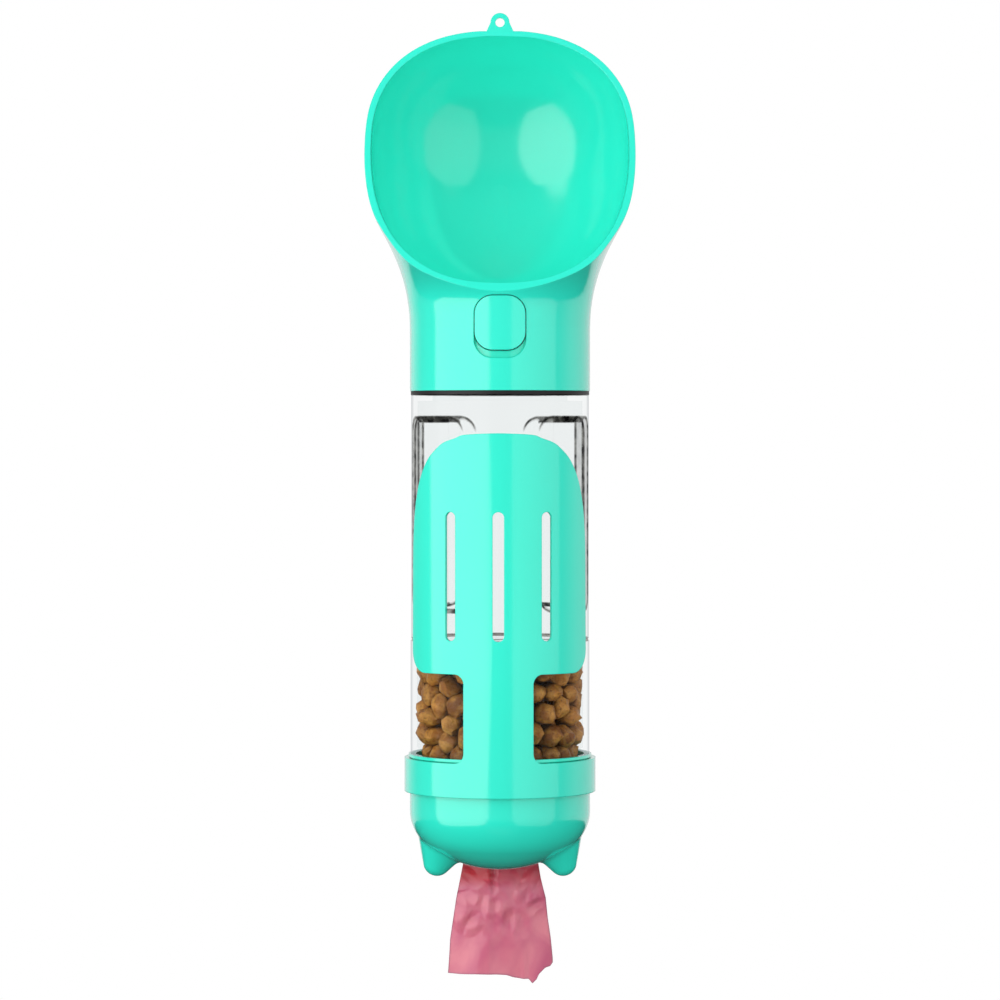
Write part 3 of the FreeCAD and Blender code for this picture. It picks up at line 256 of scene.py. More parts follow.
def paper():
    """Matt white seamless paper, which fades into the white room at its edge; it throws little light back."""
    material, tree = new_material("seamless_paper")
    place = add(tree, "TexCoord").outputs["Object"]
    grain = add(tree, "TexNoise", {"Vector": place, "Scale": 1 / 0.004, "Detail": 3.0})
    away = add(tree, "VectorMath", {0: place}, operation="LENGTH")
    edge = {"Value": away.outputs["Value"], "From Min": 0.35, "From Max": FLOOR_RADIUS * 0.95}
    fade = add(tree, "MapRange", edge)
    tones = {0: grain.outputs[0], 6: linear("#F4F4F3"), 7: linear("#FBFBFB")}
    tone = add(tree, "Mix", tones, data_type="RGBA")
    matt = add(tree, "BsdfDiffuse", {"Color": tone.outputs[2], "Roughness": 0.6})
    white = add(tree, "Emission", {"Color": linear("#FFFFFF"), "Strength": 1.0})
    seen = add(tree, "MixShader", {0: fade.outputs[0], 1: matt.outputs[0], 2: white.outputs[0]})
    # only the camera sees it white: it lights the bottle as grey paper, and is mirrored darker still
    rays = add(tree, "LightPath")
    grey = {0: rays.outputs["Is Glossy Ray"], 6: linear("#A0A09F"), 7: linear("#3A3A3A")}
    shade = add(tree, "Mix", grey, data_type="RGBA")
    dim = add(tree, "BsdfDiffuse", {"Color": shade.outputs[2], "Roughness": 0.6})
    mixed = add(tree, "MixShader", {0: rays.outputs["Is Camera Ray"], 1: dim.outputs[0], 2: seen.outputs[0]})
    add(tree, "OutputMaterial", {"Surface": mixed.outputs[0]})
    return material


def floor():
    """A round sheet of the paper, well below the hanging bottle."""
    deselect()
    middle = (0, 0, FLOOR_HEIGHT)
    bpy.ops.mesh.primitive_circle_add(vertices=96, radius=FLOOR_RADIUS, fill_type="NGON", location=middle)
    disc = bpy.context.object
    disc.name = "floor"
    bpy.ops.object.transform_apply(location=True)
    disc.data.materials.append(paper())


# Materials

# A pattern's scale is one over the real size of its grain, in metres


def glossy_abs():
    """ABS from a polished mould: a saturated glossy skin, faintly wavy like orange peel."""
    material, tree = new_material("moulded_glossy_abs")
    place = add(tree, "TexCoord").outputs["Object"]
    drift = add(tree, "TexNoise", {"Vector": place, "Scale": 1 / 0.05, "Detail": 2.0})
    peel = add(tree, "TexNoise", {"Vector": place, "Scale": 1 / 0.0025, "Detail": 1.0})
    # handling has worn the shine a little unevenly
    handling = add(tree, "TexNoise", {"Vector": place, "Scale": 1 / 0.008, "Detail": 4.0, "Roughness": 0.65})
    tones = {0: drift.outputs[0], 6: linear("#28E8CB"), 7: linear("#32ECD2")}
    tone = add(tree, "Mix", tones, data_type="RGBA")
    wear = {"Value": handling.outputs[0], "From Min": 0.3, "From Max": 0.7, "To Min": 0.11, "To Max": 0.16}
    gloss = add(tree, "MapRange", wear)
    rounding = add(tree, "Bevel", {"Radius": 0.5 * MM}, samples=6)
    waves = {"Strength": 0.2, "Distance": 0.01 * MM, "Height": peel.outputs[0], "Normal": rounding.outputs[0]}
    skin = add(tree, "Bump", waves)
    shader = add(
        tree,
        "BsdfPrincipled",
        {
            "Base Color": tone.outputs[2],
            "Roughness": gloss.outputs[0],
            "IOR": 1.54,
            "Coat Weight": 0.9,
            "Coat Roughness": 0.13,
            "Normal": skin.outputs[0],
            "Coat Normal": skin.outputs[0],
        },
    )
    add(tree, "OutputMaterial", {"Surface": shader.outputs[0]})
    return material


def clear_moulding(name, bore, painted_shade_depth):
    """Clear styrene-acrylonitrile: pale and glossy, with painted shade along its steps for the light that
    they pipe away.

    Surfaces nearer to the axis than the bore are the inside of a wall, which hardly shows. The last argument
    is how deep the painted shade on the steps is, from 0 to 1.
    """
    material, tree = new_material(name)
    place = add(tree, "TexCoord").outputs["Object"]
    parts = add(tree, "SeparateXYZ", {0: place})
    outwards = add(tree, "CombineXYZ", {0: parts.outputs[0], 1: parts.outputs[1]}).outputs[0]
    reach = add(tree, "VectorMath", {0: outwards}, operation="LENGTH").outputs["Value"]
    outside = add(tree, "MapRange", {"Value": reach, "From Min": bore, "From Max": bore + 0.2 * MM})
    # how far the rounded surface turns away from straight outwards, and how far up or down
    rounding = add(tree, "Bevel", {"Radius": 0.55 * MM}, samples=6)
    directions = {"vector_type": "NORMAL", "convert_from": "WORLD", "convert_to": "OBJECT"}
    normal = add(tree, "VectorTransform", {0: rounding.outputs[0]}, **directions).outputs[0]
    radial = add(tree, "VectorMath", {0: outwards}, operation="NORMALIZE").outputs[0]
    along = add(tree, "VectorMath", {0: radial, 1: normal}, operation="DOT_PRODUCT").outputs["Value"]
    level = add(tree, "Math", {0: along}, operation="ABSOLUTE").outputs[0]
    upward = add(tree, "SeparateXYZ", {0: normal}).outputs[2]
    upwards = add(tree, "Math", {0: upward}, operation="ABSOLUTE").outputs[0]
    sloped = add(tree, "MapRange", {"Value": level, "From Min": 0.985, "From Max": 0.93})
    lying = add(tree, "MapRange", {"Value": upwards, "From Min": 0.04, "From Max": 0.2})
    # painted shade on upright walls, where they face the bottle's sides
    across = add(tree, "SeparateXYZ", {0: radial}).outputs[0]
    sideways = add(tree, "Math", {0: across}, operation="ABSOLUTE").outputs[0]
    at_side = add(tree, "MapRange", {"Value": sideways, "From Min": 0.6, "From Max": 0.85})
    either = add(tree, "Math", {0: lying.outputs[0], 1: at_side.outputs[0]}, operation="MAXIMUM")
    # painted shade greys a grip's shelf, for the light its steps pipe away
    shelf = add(tree, "Attribute", attribute_name="shelf")
    painted_shelf_shade = add(tree, "Math", {0: shelf.outputs["Fac"], 1: 0.4}, operation="MULTIPLY")
    turned = add(tree, "Math", {0: sloped.outputs[0], 1: painted_shelf_shade.outputs[0]}, operation="MAXIMUM")
    step = add(tree, "Math", {0: turned.outputs[0], 1: either.outputs[0]}, operation="MULTIPLY")
    # the base's lowest 1.3 mm lie on a pale ring, and get the painted shade at half strength
    base = {"From Min": (BASE_LEVEL + 1.3) * MM, "From Max": (BASE_LEVEL + 2.7) * MM, "To Min": 0.5}
    fuller = add(tree, "MapRange", {"Value": parts.outputs[2], **base})
    amount = add(tree, "Math", {0: fuller.outputs[0], 1: painted_shade_depth}, operation="MULTIPLY")
    strength = add(tree, "Math", {0: outside.outputs[0], 1: amount.outputs[0]}, operation="MULTIPLY")
    # painted shade along the steps: how much of it each place gets
    painted_step_shade = add(tree, "Math", {0: step.outputs[0], 1: strength.outputs[0]}, operation="MULTIPLY")
    # each wall's colour, deeper where it is seen along: partly the longer way through the plastic, partly
    # painted shade for the edge lines that bent light gives
    facing = add(tree, "LayerWeight", {"Blend": 0.5}).outputs["Facing"]
    grazing_edge_shade = add(tree, "MapRange", {"Value": facing, "From Min": 0.75, "From Max": 1.0})
    edge = add(tree, "Math", {0: grazing_edge_shade.outputs[0], 1: outside.outputs[0]}, operation="MULTIPLY")
    tint_and_edge_shade = {0: edge.outputs[0], 6: linear("#FAFBFB"), 7: linear("#D2D5D8")}
    clear = add(tree, "Mix", tint_and_edge_shade, data_type="RGBA")
    mottle = add(tree, "TexNoise", {"Vector": place, "Scale": 1 / 0.003, "Detail": 3.0})
    patches = add(tree, "MapRange", {"Value": mottle.outputs[0], "From Min": 0.35, "From Max": 0.65})
    # the painted shade's tones, mottled from grey to near black
    painted_shade_tones = {0: patches.outputs[0], 6: linear("#2C2D2E"), 7: linear("#A0A09C")}
    shade = add(tree, "Mix", painted_shade_tones, data_type="RGBA")
    body = add(tree, "Mix", {0: painted_step_shade.outputs[0], 6: clear.outputs[2], 7: shade.outputs[2]}, data_type="RGBA")
    through = add(tree, "BsdfTransparent", {"Color": body.outputs[2]})
    # only outer faces mirror the room, as a whole wall does
    flow = add(tree, "TexNoise", {"Vector": place, "Scale": 1 / 0.02, "Detail": 2.0})
    wave = add(tree, "Bump", {"Strength": 0.1, "Distance": 0.02 * MM, "Height": flow.outputs[0]})
    gloss = {"Color": linear("#FFFFFF"), "Roughness": 0.04, "Normal": wave.outputs[0]}
    shine = add(tree, "BsdfGlossy", gloss)
    steep = add(tree, "Math", {0: facing, 1: 5.0}, operation="POWER")
    mirror = add(tree, "MapRange", {"Value": steep.outputs[0], "To Min": 0.009, "To Max": 0.6})
    back = add(tree, "NewGeometry").outputs["Backfacing"]
    front = add(tree, "Math", {0: 1.0, 1: back}, operation="SUBTRACT")
    shown = add(tree, "Math", {0: front.outputs[0], 1: outside.outputs[0]}, operation="MULTIPLY")
    share = add(tree, "Math", {0: mirror.outputs[0], 1: shown.outputs[0]}, operation="MULTIPLY")
    mixed = add(tree, "MixShader", {0: share.outputs[0], 1: through.outputs[0], 2: shine.outputs[0]})
    add(tree, "OutputMaterial", {"Surface": mixed.outputs[0]})
    return material


def baked_food():
    """Extruded dry food, toasted: browns that differ from piece to piece, matt with a little fat on it."""
    material, tree = new_material("toasted_dry_food")
    place = add(tree, "TexCoord").outputs["Object"]
    shade = add(tree, "Attribute", attribute_name="toast")
    crumb = add(tree, "TexNoise", {"Vector": place, "Scale": 1 / 0.0009, "Detail": 5.0, "Roughness": 0.7})
    blotch = add(tree, "TexNoise", {"Vector": place, "Scale": 1 / 0.0035, "Detail": 3.0})
    pores = add(tree, "TexVoronoi", {"Vector": place, "Scale": 1 / 0.0011})
    toasts = {0: shade.outputs["Fac"], 6: linear("#7E4816"), 7: linear("#BC7A30")}
    base = add(tree, "Mix", toasts, data_type="RGBA")
    spread = {"Value": blotch.outputs[0], "From Min": 0.4, "From Max": 0.65, "To Max": 0.75}
    pale = add(tree, "MapRange", spread)
    tones = {0: pale.outputs[0], 6: base.outputs[2], 7: linear("#D49A48")}
    browned = add(tree, "Mix", tones, data_type="RGBA")
    amount = {"Value": crumb.outputs[0], "From Min": 0.52, "From Max": 0.7, "To Max": 0.75}
    specks = add(tree, "MapRange", amount)
    burnt = {0: specks.outputs[0], 6: browned.outputs[2], 7: linear("#452308")}
    toasted = add(tree, "Mix", burnt, data_type="RGBA")
    # painted shade: where the pieces leave little open air, in the gaps between them, the colour is darkened
    open_air = add(tree, "AmbientOcclusion", {"Distance": 3.5 * MM}, samples=6, only_local=True)
    gap = {"Value": open_air.outputs["AO"], "From Min": 0.15, "From Max": 0.75, "To Min": 0.85, "To Max": 0.0}
    shadow = {0: add(tree, "MapRange", gap).outputs[0], 6: toasted.outputs[2], 7: linear("#241205")}
    colour = add(tree, "Mix", shadow, data_type="RGBA")
    relief = add(tree, "Math", {0: crumb.outputs[0], 1: pores.outputs["Distance"]}, operation="ADD")
    rough = add(tree, "Bump", {"Strength": 0.8, "Distance": 0.25 * MM, "Height": relief.outputs[0]})
    shader = add(
        tree,
        "BsdfPrincipled",
        {"Base Color": colour.outputs[2], "Roughness": 0.45, "IOR": 1.4, "Normal": rough.outputs[0]},
    )
    add(tree, "OutputMaterial", {"Surface": shader.outputs[0]})
    return material


def blown_film():
    """Thin pink polyethylene film: soft shine on its creases, and light comes through it."""
    material, tree = new_material("blown_pink_film")
    place = add(tree, "TexCoord").outputs["Object"]
    folds = add(tree, "TexNoise", {"Vector": place, "Scale": 1 / 0.016, "Detail": 3.0, "Distortion": 0.6})
    shift = {"Value": folds.outputs[0], "From Min": 0.35, "From Max": 0.65}
    tone = add(
        tree,
        "Mix",
        {0: add(tree, "MapRange", shift).outputs[0], 6: linear("#E06C92"), 7: linear("#F496A8")},
        data_type="RGBA",
    )
    # the film is denser where it is doubled: along its folded sides and at its torn foot
    doubled = add(tree, "Attribute", attribute_name="doubled")
    folded = {0: doubled.outputs["Fac"], 6: tone.outputs[2], 7: linear("#B4667E")}
    edged = add(tree, "Mix", folded, data_type="RGBA")
    # and redder where its layers bunch in the slot: partly the layers, partly painted shade and a painted
    # warm reflection under the box
    bunched_and_shaded = add(tree, "Attribute", attribute_name="bunched_and_shaded")
    layers = {0: bunched_and_shaded.outputs["Fac"], 6: edged.outputs[2], 7: linear("#DC3444")}
    dense_and_shaded = add(tree, "Mix", layers, data_type="RGBA")
    stretch = add(tree, "TexNoise", {"Vector": place, "Scale": 1 / 0.004, "Detail": 3.0})
    wrinkle = add(tree, "Bump", {"Strength": 0.25, "Distance": 0.15 * MM, "Height": stretch.outputs[0]})
    skin = add(
        tree,
        "BsdfPrincipled",
        {
            "Base Color": dense_and_shaded.outputs[2],
            "Roughness": 0.3,
            "IOR": 1.51,
            "Coat Weight": 0.6,
            "Coat Roughness": 0.14,
            "Normal": wrinkle.outputs[0],
        },
    )
    glow = add(tree, "BsdfTranslucent", {"Color": dense_and_shaded.outputs[2], "Normal": wrinkle.outputs[0]})
    mixed = add(tree, "MixShader", {0: 0.3, 1: skin.outputs[0], 2: glow.outputs[0]})
    add(tree, "OutputMaterial", {"Surface": mixed.outputs[0]})
    return material


def wound_film():
    """The bags wound on their core: fine rings at the roll's ends, faint lengthwise wrinkles round it."""
    material, tree = new_material("wound_pink_film")
    place = add(tree, "TexCoord").outputs["Object"]
    low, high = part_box("bag_roll")
    axis = (low + high) / 2
    centred = add(tree, "Mapping", {"Vector": place, "Location": -axis})
    parts = add(tree, "SeparateXYZ", {0: centred.outputs[0]})
    across = add(tree, "CombineXYZ", {1: parts.outputs[1], 2: parts.outputs[2]})
    radius = add(tree, "VectorMath", {0: across.outputs[0]}, operation="LENGTH")
    outwards = add(tree, "CombineXYZ", {0: radius.outputs["Value"]})
    rings = {"Vector": outwards.outputs[0], "Scale": 1 / 0.0015, "Distortion": 1.5}
    layers = add(tree, "TexWave", rings)
    wrinkles = add(tree, "TexNoise", {"Vector": place, "Scale": 1 / 0.005, "Detail": 4.0})
    tones = {0: layers.outputs["Fac"], 6: linear("#C65A7E"), 7: linear("#E0879A")}
    tone = add(tree, "Mix", tones, data_type="RGBA")
    height = add(tree, "Math", {0: layers.outputs["Fac"], 1: wrinkles.outputs[0]}, operation="ADD")
    relief = add(tree, "Bump", {"Strength": 0.4, "Distance": 0.1 * MM, "Height": height.outputs[0]})
    shader = add(
        tree,
        "BsdfPrincipled",
        {"Base Color": tone.outputs[2], "Roughness": 0.32, "IOR": 1.51, "Normal": relief.outputs[0]},
    )
    add(tree, "OutputMaterial", {"Surface": shader.outputs[0]})
    return material


def plain_moulding(name, low, high, roughness, ior, grain, depth):
    """A satin moulding or rubber: a fine even texture in its colour, shine and relief."""
    material, tree = new_material(name)
    place = add(tree, "TexCoord").outputs["Object"]
    texture = add(tree, "TexNoise", {"Vector": place, "Scale": 1 / grain, "Detail": 3.0})
    tone = add(tree, "Mix", {0: texture.outputs[0], 6: linear(low), 7: linear(high)}, data_type="RGBA")
    spread = {"Value": texture.outputs[0], "To Min": roughness * 0.85, "To Max": roughness * 1.15}
    shine = add(tree, "MapRange", spread)
    relief = add(tree, "Bump", {"Strength": 0.3, "Distance": depth, "Height": texture.outputs[0]})
    shader = add(
        tree,
        "BsdfPrincipled",
        {
            "Base Color": tone.outputs[2],
            "Roughness": shine.outputs[0],
            "IOR": ior,
            "Normal": relief.outputs[0],
        },
    )
    add(tree, "OutputMaterial", {"Surface": shader.outputs[0]})
    return material


def satin_acetal():
    """Acetal, moulded: off white, with a satin shine and a fine even grain."""
    shine = {"roughness": 0.42, "ior": 1.48, "grain": 0.0012, "depth": 0.02 * MM}
    return plain_moulding("satin_acetal", "#E9E9E5", "#F3F3F0", **shine)


def moulded_silicone():
    """Silicone rubber, moulded: pale grey and rather dull."""
    shine = {"roughness": 0.5, "ior": 1.41, "grain": 0.0009, "depth": 0.02 * MM}
    return plain_moulding("moulded_silicone", "#DCDDDD", "#E6E7E6", **shine)


def black_rubber():
    """Nitrile rubber, moulded: near black, with a soft shine."""
    shine = {"roughness": 0.5, "ior": 1.52, "grain": 0.0007, "depth": 0.03 * MM}
    return plain_moulding("moulded_black_rubber", "#0C0C0D", "#18181A", **shine)


def wound_board():
    """Greyboard, wound to a tube: greyish brown, fibrous and without shine."""
    shine = {"roughness": 0.85, "ior": 1.45, "grain": 0.0016, "depth": 0.08 * MM}
    return plain_moulding("wound_grey_board", "#9A8F80", "#B4A996", **shine)


def milky_silicone():
    """Translucent silicone, moulded: milky, and about half the light comes straight through."""
    material, tree = new_material("translucent_silicone")
    place = add(tree, "TexCoord").outputs["Object"]
    clouds = add(tree, "TexNoise", {"Vector": place, "Scale": 1 / 0.0009, "Detail": 3.0})
    tones = {0: clouds.outputs[0], 6: linear("#D4CFC9"), 7: linear("#E2DED9")}
    tone = add(tree, "Mix", tones, data_type="RGBA")
    relief = add(tree, "Bump", {"Strength": 0.3, "Distance": 0.02 * MM, "Height": clouds.outputs[0]})
    skin = add(
        tree,
        "BsdfPrincipled",
        {"Base Color": tone.outputs[2], "Roughness": 0.5, "IOR": 1.41, "Normal": relief.outputs[0]},
    )
    glow = add(tree, "BsdfTranslucent", {"Color": tone.outputs[2], "Normal": relief.outputs[0]})
    milk = add(tree, "MixShader", {0: 0.5, 1: skin.outputs[0], 2: glow.outputs[0]})
    through = add(tree, "BsdfTransparent", {"Color": linear("#EDEAE6")})
    mixed = add(tree, "MixShader", {0: 0.55, 1: milk.outputs[0], 2: through.outputs[0]})
    add(tree, "OutputMaterial", {"Surface": mixed.outputs[0]})
    return material


def drawn_steel():
    """Stainless steel, drawn or stamped: bright metal with fine lines round it."""
    material, tree = new_material("drawn_stainless_steel")
    place = add(tree, "TexCoord").outputs["Object"]
    stretched = add(tree, "Mapping", {"Vector": place, "Scale": (1.0, 1.0, 6.0)})
    lines = add(tree, "TexNoise", {"Vector": stretched.outputs[0], "Scale": 1 / 0.0006, "Detail": 2.0})
    shine = add(tree, "MapRange", {"Value": lines.outputs[0], "To Min": 0.2, "To Max": 0.34})
    relief = add(tree, "Bump", {"Strength": 0.2, "Distance": 0.01 * MM, "Height": lines.outputs[0]})
    shader = add(
        tree,
        "BsdfPrincipled",
        {
            "Base Color": linear("#C6C7C9"),
            "Metallic": 1.0,
            "Roughness": shine.outputs[0],
            "Normal": relief.outputs[0],
        },
    )
    add(tree, "OutputMaterial", {"Surface": shader.outputs[0]})
    return material


# The dry food in its container


def food_room():
    """The room of the CAD fill: lowest and highest level, and the radius at the foot and above it."""
    low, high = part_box("kibble")
    points = np.array([v.co for v in NODES["kibble"].data.vertices])
    reach = np.hypot(points[:, 0], points[:, 1])
    # the foot is what lies within half a millimetre of the lowest level
    foot = reach[points[:, 2] < low.z + 0.5 * MM].max()
    return low.z, high.z, foot, reach.max()


def food_places():
    """Loosely packed places for the pieces of food: they push apart until they hardly overlap."""
    bottom, top, foot, reach = food_room()
    rng = np.random.default_rng(11)
    angle = rng.uniform(0, 2 * math.pi, FOOD_COUNT)
    far = reach * np.sqrt(rng.uniform(0, 1, FOOD_COUNT)) * FOOD_SPREAD
    places = np.stack([far * np.cos(angle), far * np.sin(angle), rng.uniform(bottom, top, FOOD_COUNT)], 1)
    size = FOOD_RADIUS * rng.uniform(*FOOD_SIZES, FOOD_COUNT)
    for _ in range(FOOD_ROUNDS):
        apart = places[:, None] - places[None]
        gap = np.linalg.norm(apart, axis=2) + 1e-9
        np.fill_diagonal(gap, 1.0)
        push = np.clip(FOOD_TOUCH * (size[:, None] + size[None]) - gap, 0, None)
        places += FOOD_PUSH * (apart / gap[..., None] * push[..., None]).sum(1)
        places[:, 2] -= FOOD_SINK
        places[:, 2] = np.clip(places[:, 2], bottom + size * FOOD_BASE, top - size * FOOD_BASE)
        wall = np.where(places[:, 2] - size < bottom + FOOD_STEP, foot, reach) - size * FOOD_SIDE
        out = np.hypot(places[:, 0], places[:, 1])
        places[:, :2] *= np.minimum(1.0, wall / np.maximum(out, 1e-9))[:, None]
    return places, size, rng


def food_shapes():
    """A few different lumps: balls pressed out of shape and pitted."""
    lumps = []
    swell = bpy.data.textures.new("swell", "CLOUDS")
    swell.noise_scale = 0.62
    pits = bpy.data.textures.new("pits", "VORONOI")
    pits.noise_scale = 0.5
    for number in range(FOOD_LUMPS):
        deselect()
        # each at another place in the clouds, which press it into another shape
        spot = (3.1 * number, 1.7 * number, 0)
        bpy.ops.mesh.primitive_ico_sphere_add(subdivisions=2, radius=1.0, location=spot)
        lump = bpy.context.object
        for texture, strength in ((swell, 0.75), (pits, 0.22)):
            modifier = lump.modifiers.new(texture.name, "DISPLACE")
            modifier.texture = texture
            modifier.texture_coords = "GLOBAL"
            modifier.strength = strength
            modifier.mid_level = 0.5
            bpy.ops.object.modifier_apply(modifier=modifier.name)
        lump.location = (0, 0, 0)
        bpy.ops.object.shade_smooth_by_angle(angle=math.radians(42))
        lumps.append(lump)
    return lumps


def dry_food(material):
    """The food as separate toasted lumps, in place of the CAD fill."""
    places, size, rng = food_places()
    lumps = food_shapes()
    copies = []
    for number, (place, radius) in enumerate(zip(places, size)):
        piece = bpy.data.objects.new(f"lump_{number}", lumps[number % len(lumps)].data.copy())
        bpy.context.scene.collection.objects.link(piece)
        turn = Matrix.Rotation(rng.uniform(0, 6.28), 4, Vector(rng.normal(size=3)).normalized())
        stretch = Matrix.Diagonal((*FOOD_STRETCH, 1.0))
        piece.data.transform(Matrix.Translation(place) @ turn @ Matrix.Scale(radius, 4) @ stretch)
        mark(piece.data, "toast", np.full(len(piece.data.vertices), rng.uniform(0, 1)))
        copies.append(piece)
    for lump in lumps:
        bpy.data.objects.remove(lump)
    deselect()
    for piece in copies:
        piece.select_set(True)
    bpy.context.view_layer.objects.active = copies[0]
    bpy.ops.object.join()
    food = bpy.context.object
    food.name = "dry_food_pieces"
    food.data.materials.append(material)
    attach(food, "container")
    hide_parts("kibble")


# The water bottle, with its grips and screw threads


def smooth_step(share):
    """Goes from 0 to 1 with the share, without a kink at either end."""
    share = min(max(share, 0.0), 1.0)
    return share * share * (3 - 2 * share)


def sunk(x, y, height):
    """How deep a place of the bottle's wall is in a grip, from 0 to 1: two steps, with a shelf between."""
    turn = math.degrees(math.atan2(y, x)) % 360
    for middle in GRIP_ANGLES:
        off = turn - middle
        if abs(off) > GRIP_HALF_ANGLE:
            continue
        half = BOTTLE_RADIUS * math.radians(GRIP_HALF_ANGLE)
        across = BOTTLE_RADIUS * math.radians(off)
        up = height - (GRIP_TOP + GRIP_FOOT) / 2
        out_across = abs(across) - (half - GRIP_CORNER)
        out_up = abs(up) - ((GRIP_TOP - GRIP_FOOT) / 2 - GRIP_CORNER)
        round_corner = math.hypot(max(out_across, 0), max(out_up, 0))
        inside = GRIP_CORNER - round_corner - min(max(out_across, out_up), 0)
        shelf = half - abs(across) - GRIP_SHELF
        # at the foot the second step follows the first almost at once
        delay = GRIP_STEP if up > 0 else 0.3 * GRIP_STEP
        second = min((inside - delay) / GRIP_STEP, shelf / GRIP_STEP)
        return 0.5 * smooth_step(inside / GRIP_STEP) + 0.5 * smooth_step(second)
    return 0.0


def clear_bottle(material, inside):
    """The bottle turned from its outline, its grips pressed in, in place of the CAD bottle."""
    inner = BOTTLE_RADIUS - BOTTLE_WALL
    rows = round((SHOULDER_LEVEL - BASE_LEVEL) / BOTTLE_ROW)
    drop = (BASE_LEVEL - SHOULDER_LEVEL) / rows
    outline = [(BOTTLE_RADIUS, SHOULDER_LEVEL + drop * row) for row in range(rows + 1)]
    outline += [
        (STUB_RADIUS, BASE_LEVEL),
        (STUB_RADIUS, STUB_FOOT),
        (STUB_RADIUS - BOTTLE_WALL, STUB_FOOT),
        (STUB_RADIUS - BOTTLE_WALL, BASE_LEVEL),
        (0.0, BASE_LEVEL),
        (0.0, BASE_LEVEL + BOTTLE_WALL),
        (inner, BASE_LEVEL + BOTTLE_WALL),
        (inner, SHOULDER_LEVEL - BOTTLE_WALL),
        (NECK_RADIUS - BOTTLE_WALL, SHOULDER_LEVEL - BOTTLE_WALL),
        (NECK_RADIUS - BOTTLE_WALL, NECK_TOP),
        (NECK_RADIUS, NECK_TOP),
        (NECK_RADIUS, SHOULDER_LEVEL),
    ]
    # the two points on the axis aren't joined, so that no edge runs through the base's middle
    floor_middle = rows + 5
    edges = [(i, (i + 1) % len(outline)) for i in range(len(outline)) if i != floor_middle]
    mesh = bpy.data.meshes.new("clear_bottle")
    mesh.from_pydata([(radius * MM, 0, height * MM) for radius, height in outline], edges, [])
    bottle = new_object("clear_bottle", mesh)
    lathe = bottle.modifiers.new("lathe", "SCREW")
    lathe.steps = BOTTLE_STEPS
    lathe.render_steps = BOTTLE_STEPS
    lathe.use_merge_vertices = True
    lathe.merge_threshold = 0.01 * MM
    bpy.ops.object.modifier_apply(modifier="lathe")
    bpy.ops.object.mode_set(mode="EDIT")
    bpy.ops.mesh.select_all(action="SELECT")
    bpy.ops.mesh.normals_make_consistent(inside=False)
    bpy.ops.object.mode_set(mode="OBJECT")
    on_shelf = np.zeros(len(bottle.data.vertices))
    for vertex in bottle.data.vertices:
        x, y, height = vertex.co / MM
        if math.hypot(x, y) > BOTTLE_RADIUS - BOTTLE_NEAR and GRIP_FOOT < height < GRIP_TOP:
            depth = sunk(x, y, height)
            share = 1 - GRIP_DEPTH / BOTTLE_RADIUS * depth
            vertex.co.x *= share
            vertex.co.y *= share
            # the shelf is where the wall is part of the way in
            on_shelf[vertex.index] = 0.1 < depth < 0.9
    mark(bottle.data, "shelf", on_shelf)
    bpy.ops.object.shade_smooth_by_angle(angle=math.radians(40))
    bottle.data.materials.append(material)
    bottle.data.materials.append(inside)
    for face in bottle.data.polygons:
        reach = math.hypot(face.center.x, face.center.y) / MM
        height = face.center.z / MM
        between = BASE_LEVEL + BOTTLE_NEAR < height < SHOULDER_LEVEL - BOTTLE_NEAR
        in_body = reach < inner + BOTTLE_NEAR and between
        in_neck = reach < NECK_RADIUS - BOTTLE_NEAR and height > SHOULDER_LEVEL
        in_stub = reach < STUB_RADIUS - BOTTLE_NEAR and height < BASE_LEVEL + BOTTLE_NEAR
        if in_body or in_neck or in_stub:
            face.material_index = 1
    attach(bottle, "bottle")
    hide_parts("water_bottle")


# a thread's root and its crest, as shares of its pitch and of its root, and its steps for a turn
THREAD_ROOT = 0.42
THREAD_CREST = 0.45
THREAD_STEPS = 72


def thread(name, material, radius, top, turns, pitch, rise):
    """A ridge wound round an upright wall, from its top down: a small outline carried by a screw."""
    deselect()
    bpy.ops.mesh.primitive_plane_add(size=1.0, location=(0, 0, 0))
    ridge = bpy.context.object
    ridge.name = name
    bpy.ops.object.mode_set(mode="EDIT")
    bpy.ops.transform.rotate(value=math.pi / 2, orient_axis="X", center_override=(0, 0, 0))
    bpy.ops.transform.resize(value=(rise, 1.0, THREAD_ROOT * pitch))
    # a tenth of its height is sunk in the wall
    bpy.ops.transform.translate(value=(radius + 0.4 * rise, 0, top))
    bpy.ops.mesh.delete(type="ONLY_FACE")
    bpy.ops.object.mode_set(mode="OBJECT")
    # its crest is narrower than its root
    for vertex in ridge.data.vertices:
        if vertex.co.x > radius:
            vertex.co.z = top + THREAD_CREST * (vertex.co.z - top)
    winding = ridge.modifiers.new("winding", "SCREW")
    winding.angle = 2 * math.pi * turns
    winding.screw_offset = -pitch * turns
    winding.steps = round(THREAD_STEPS * turns)
    winding.render_steps = winding.steps
    winding.use_merge_vertices = True
    winding.merge_threshold = MERGE_DISTANCE
    bpy.ops.object.modifier_apply(modifier="winding")
    # its open ends are closed
    bpy.ops.object.mode_set(mode="EDIT")
    bpy.ops.mesh.select_all(action="DESELECT")
    bpy.ops.mesh.select_non_manifold()
    bpy.ops.mesh.edge_face_add()
    bpy.ops.mesh.select_all(action="SELECT")
    bpy.ops.mesh.normals_make_consistent(inside=False)
    bpy.ops.object.mode_set(mode="OBJECT")
    bpy.ops.object.shade_smooth_by_angle(angle=math.radians(40))
    ridge.data.materials.append(material)
    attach(ridge, "bottle")


# The springs


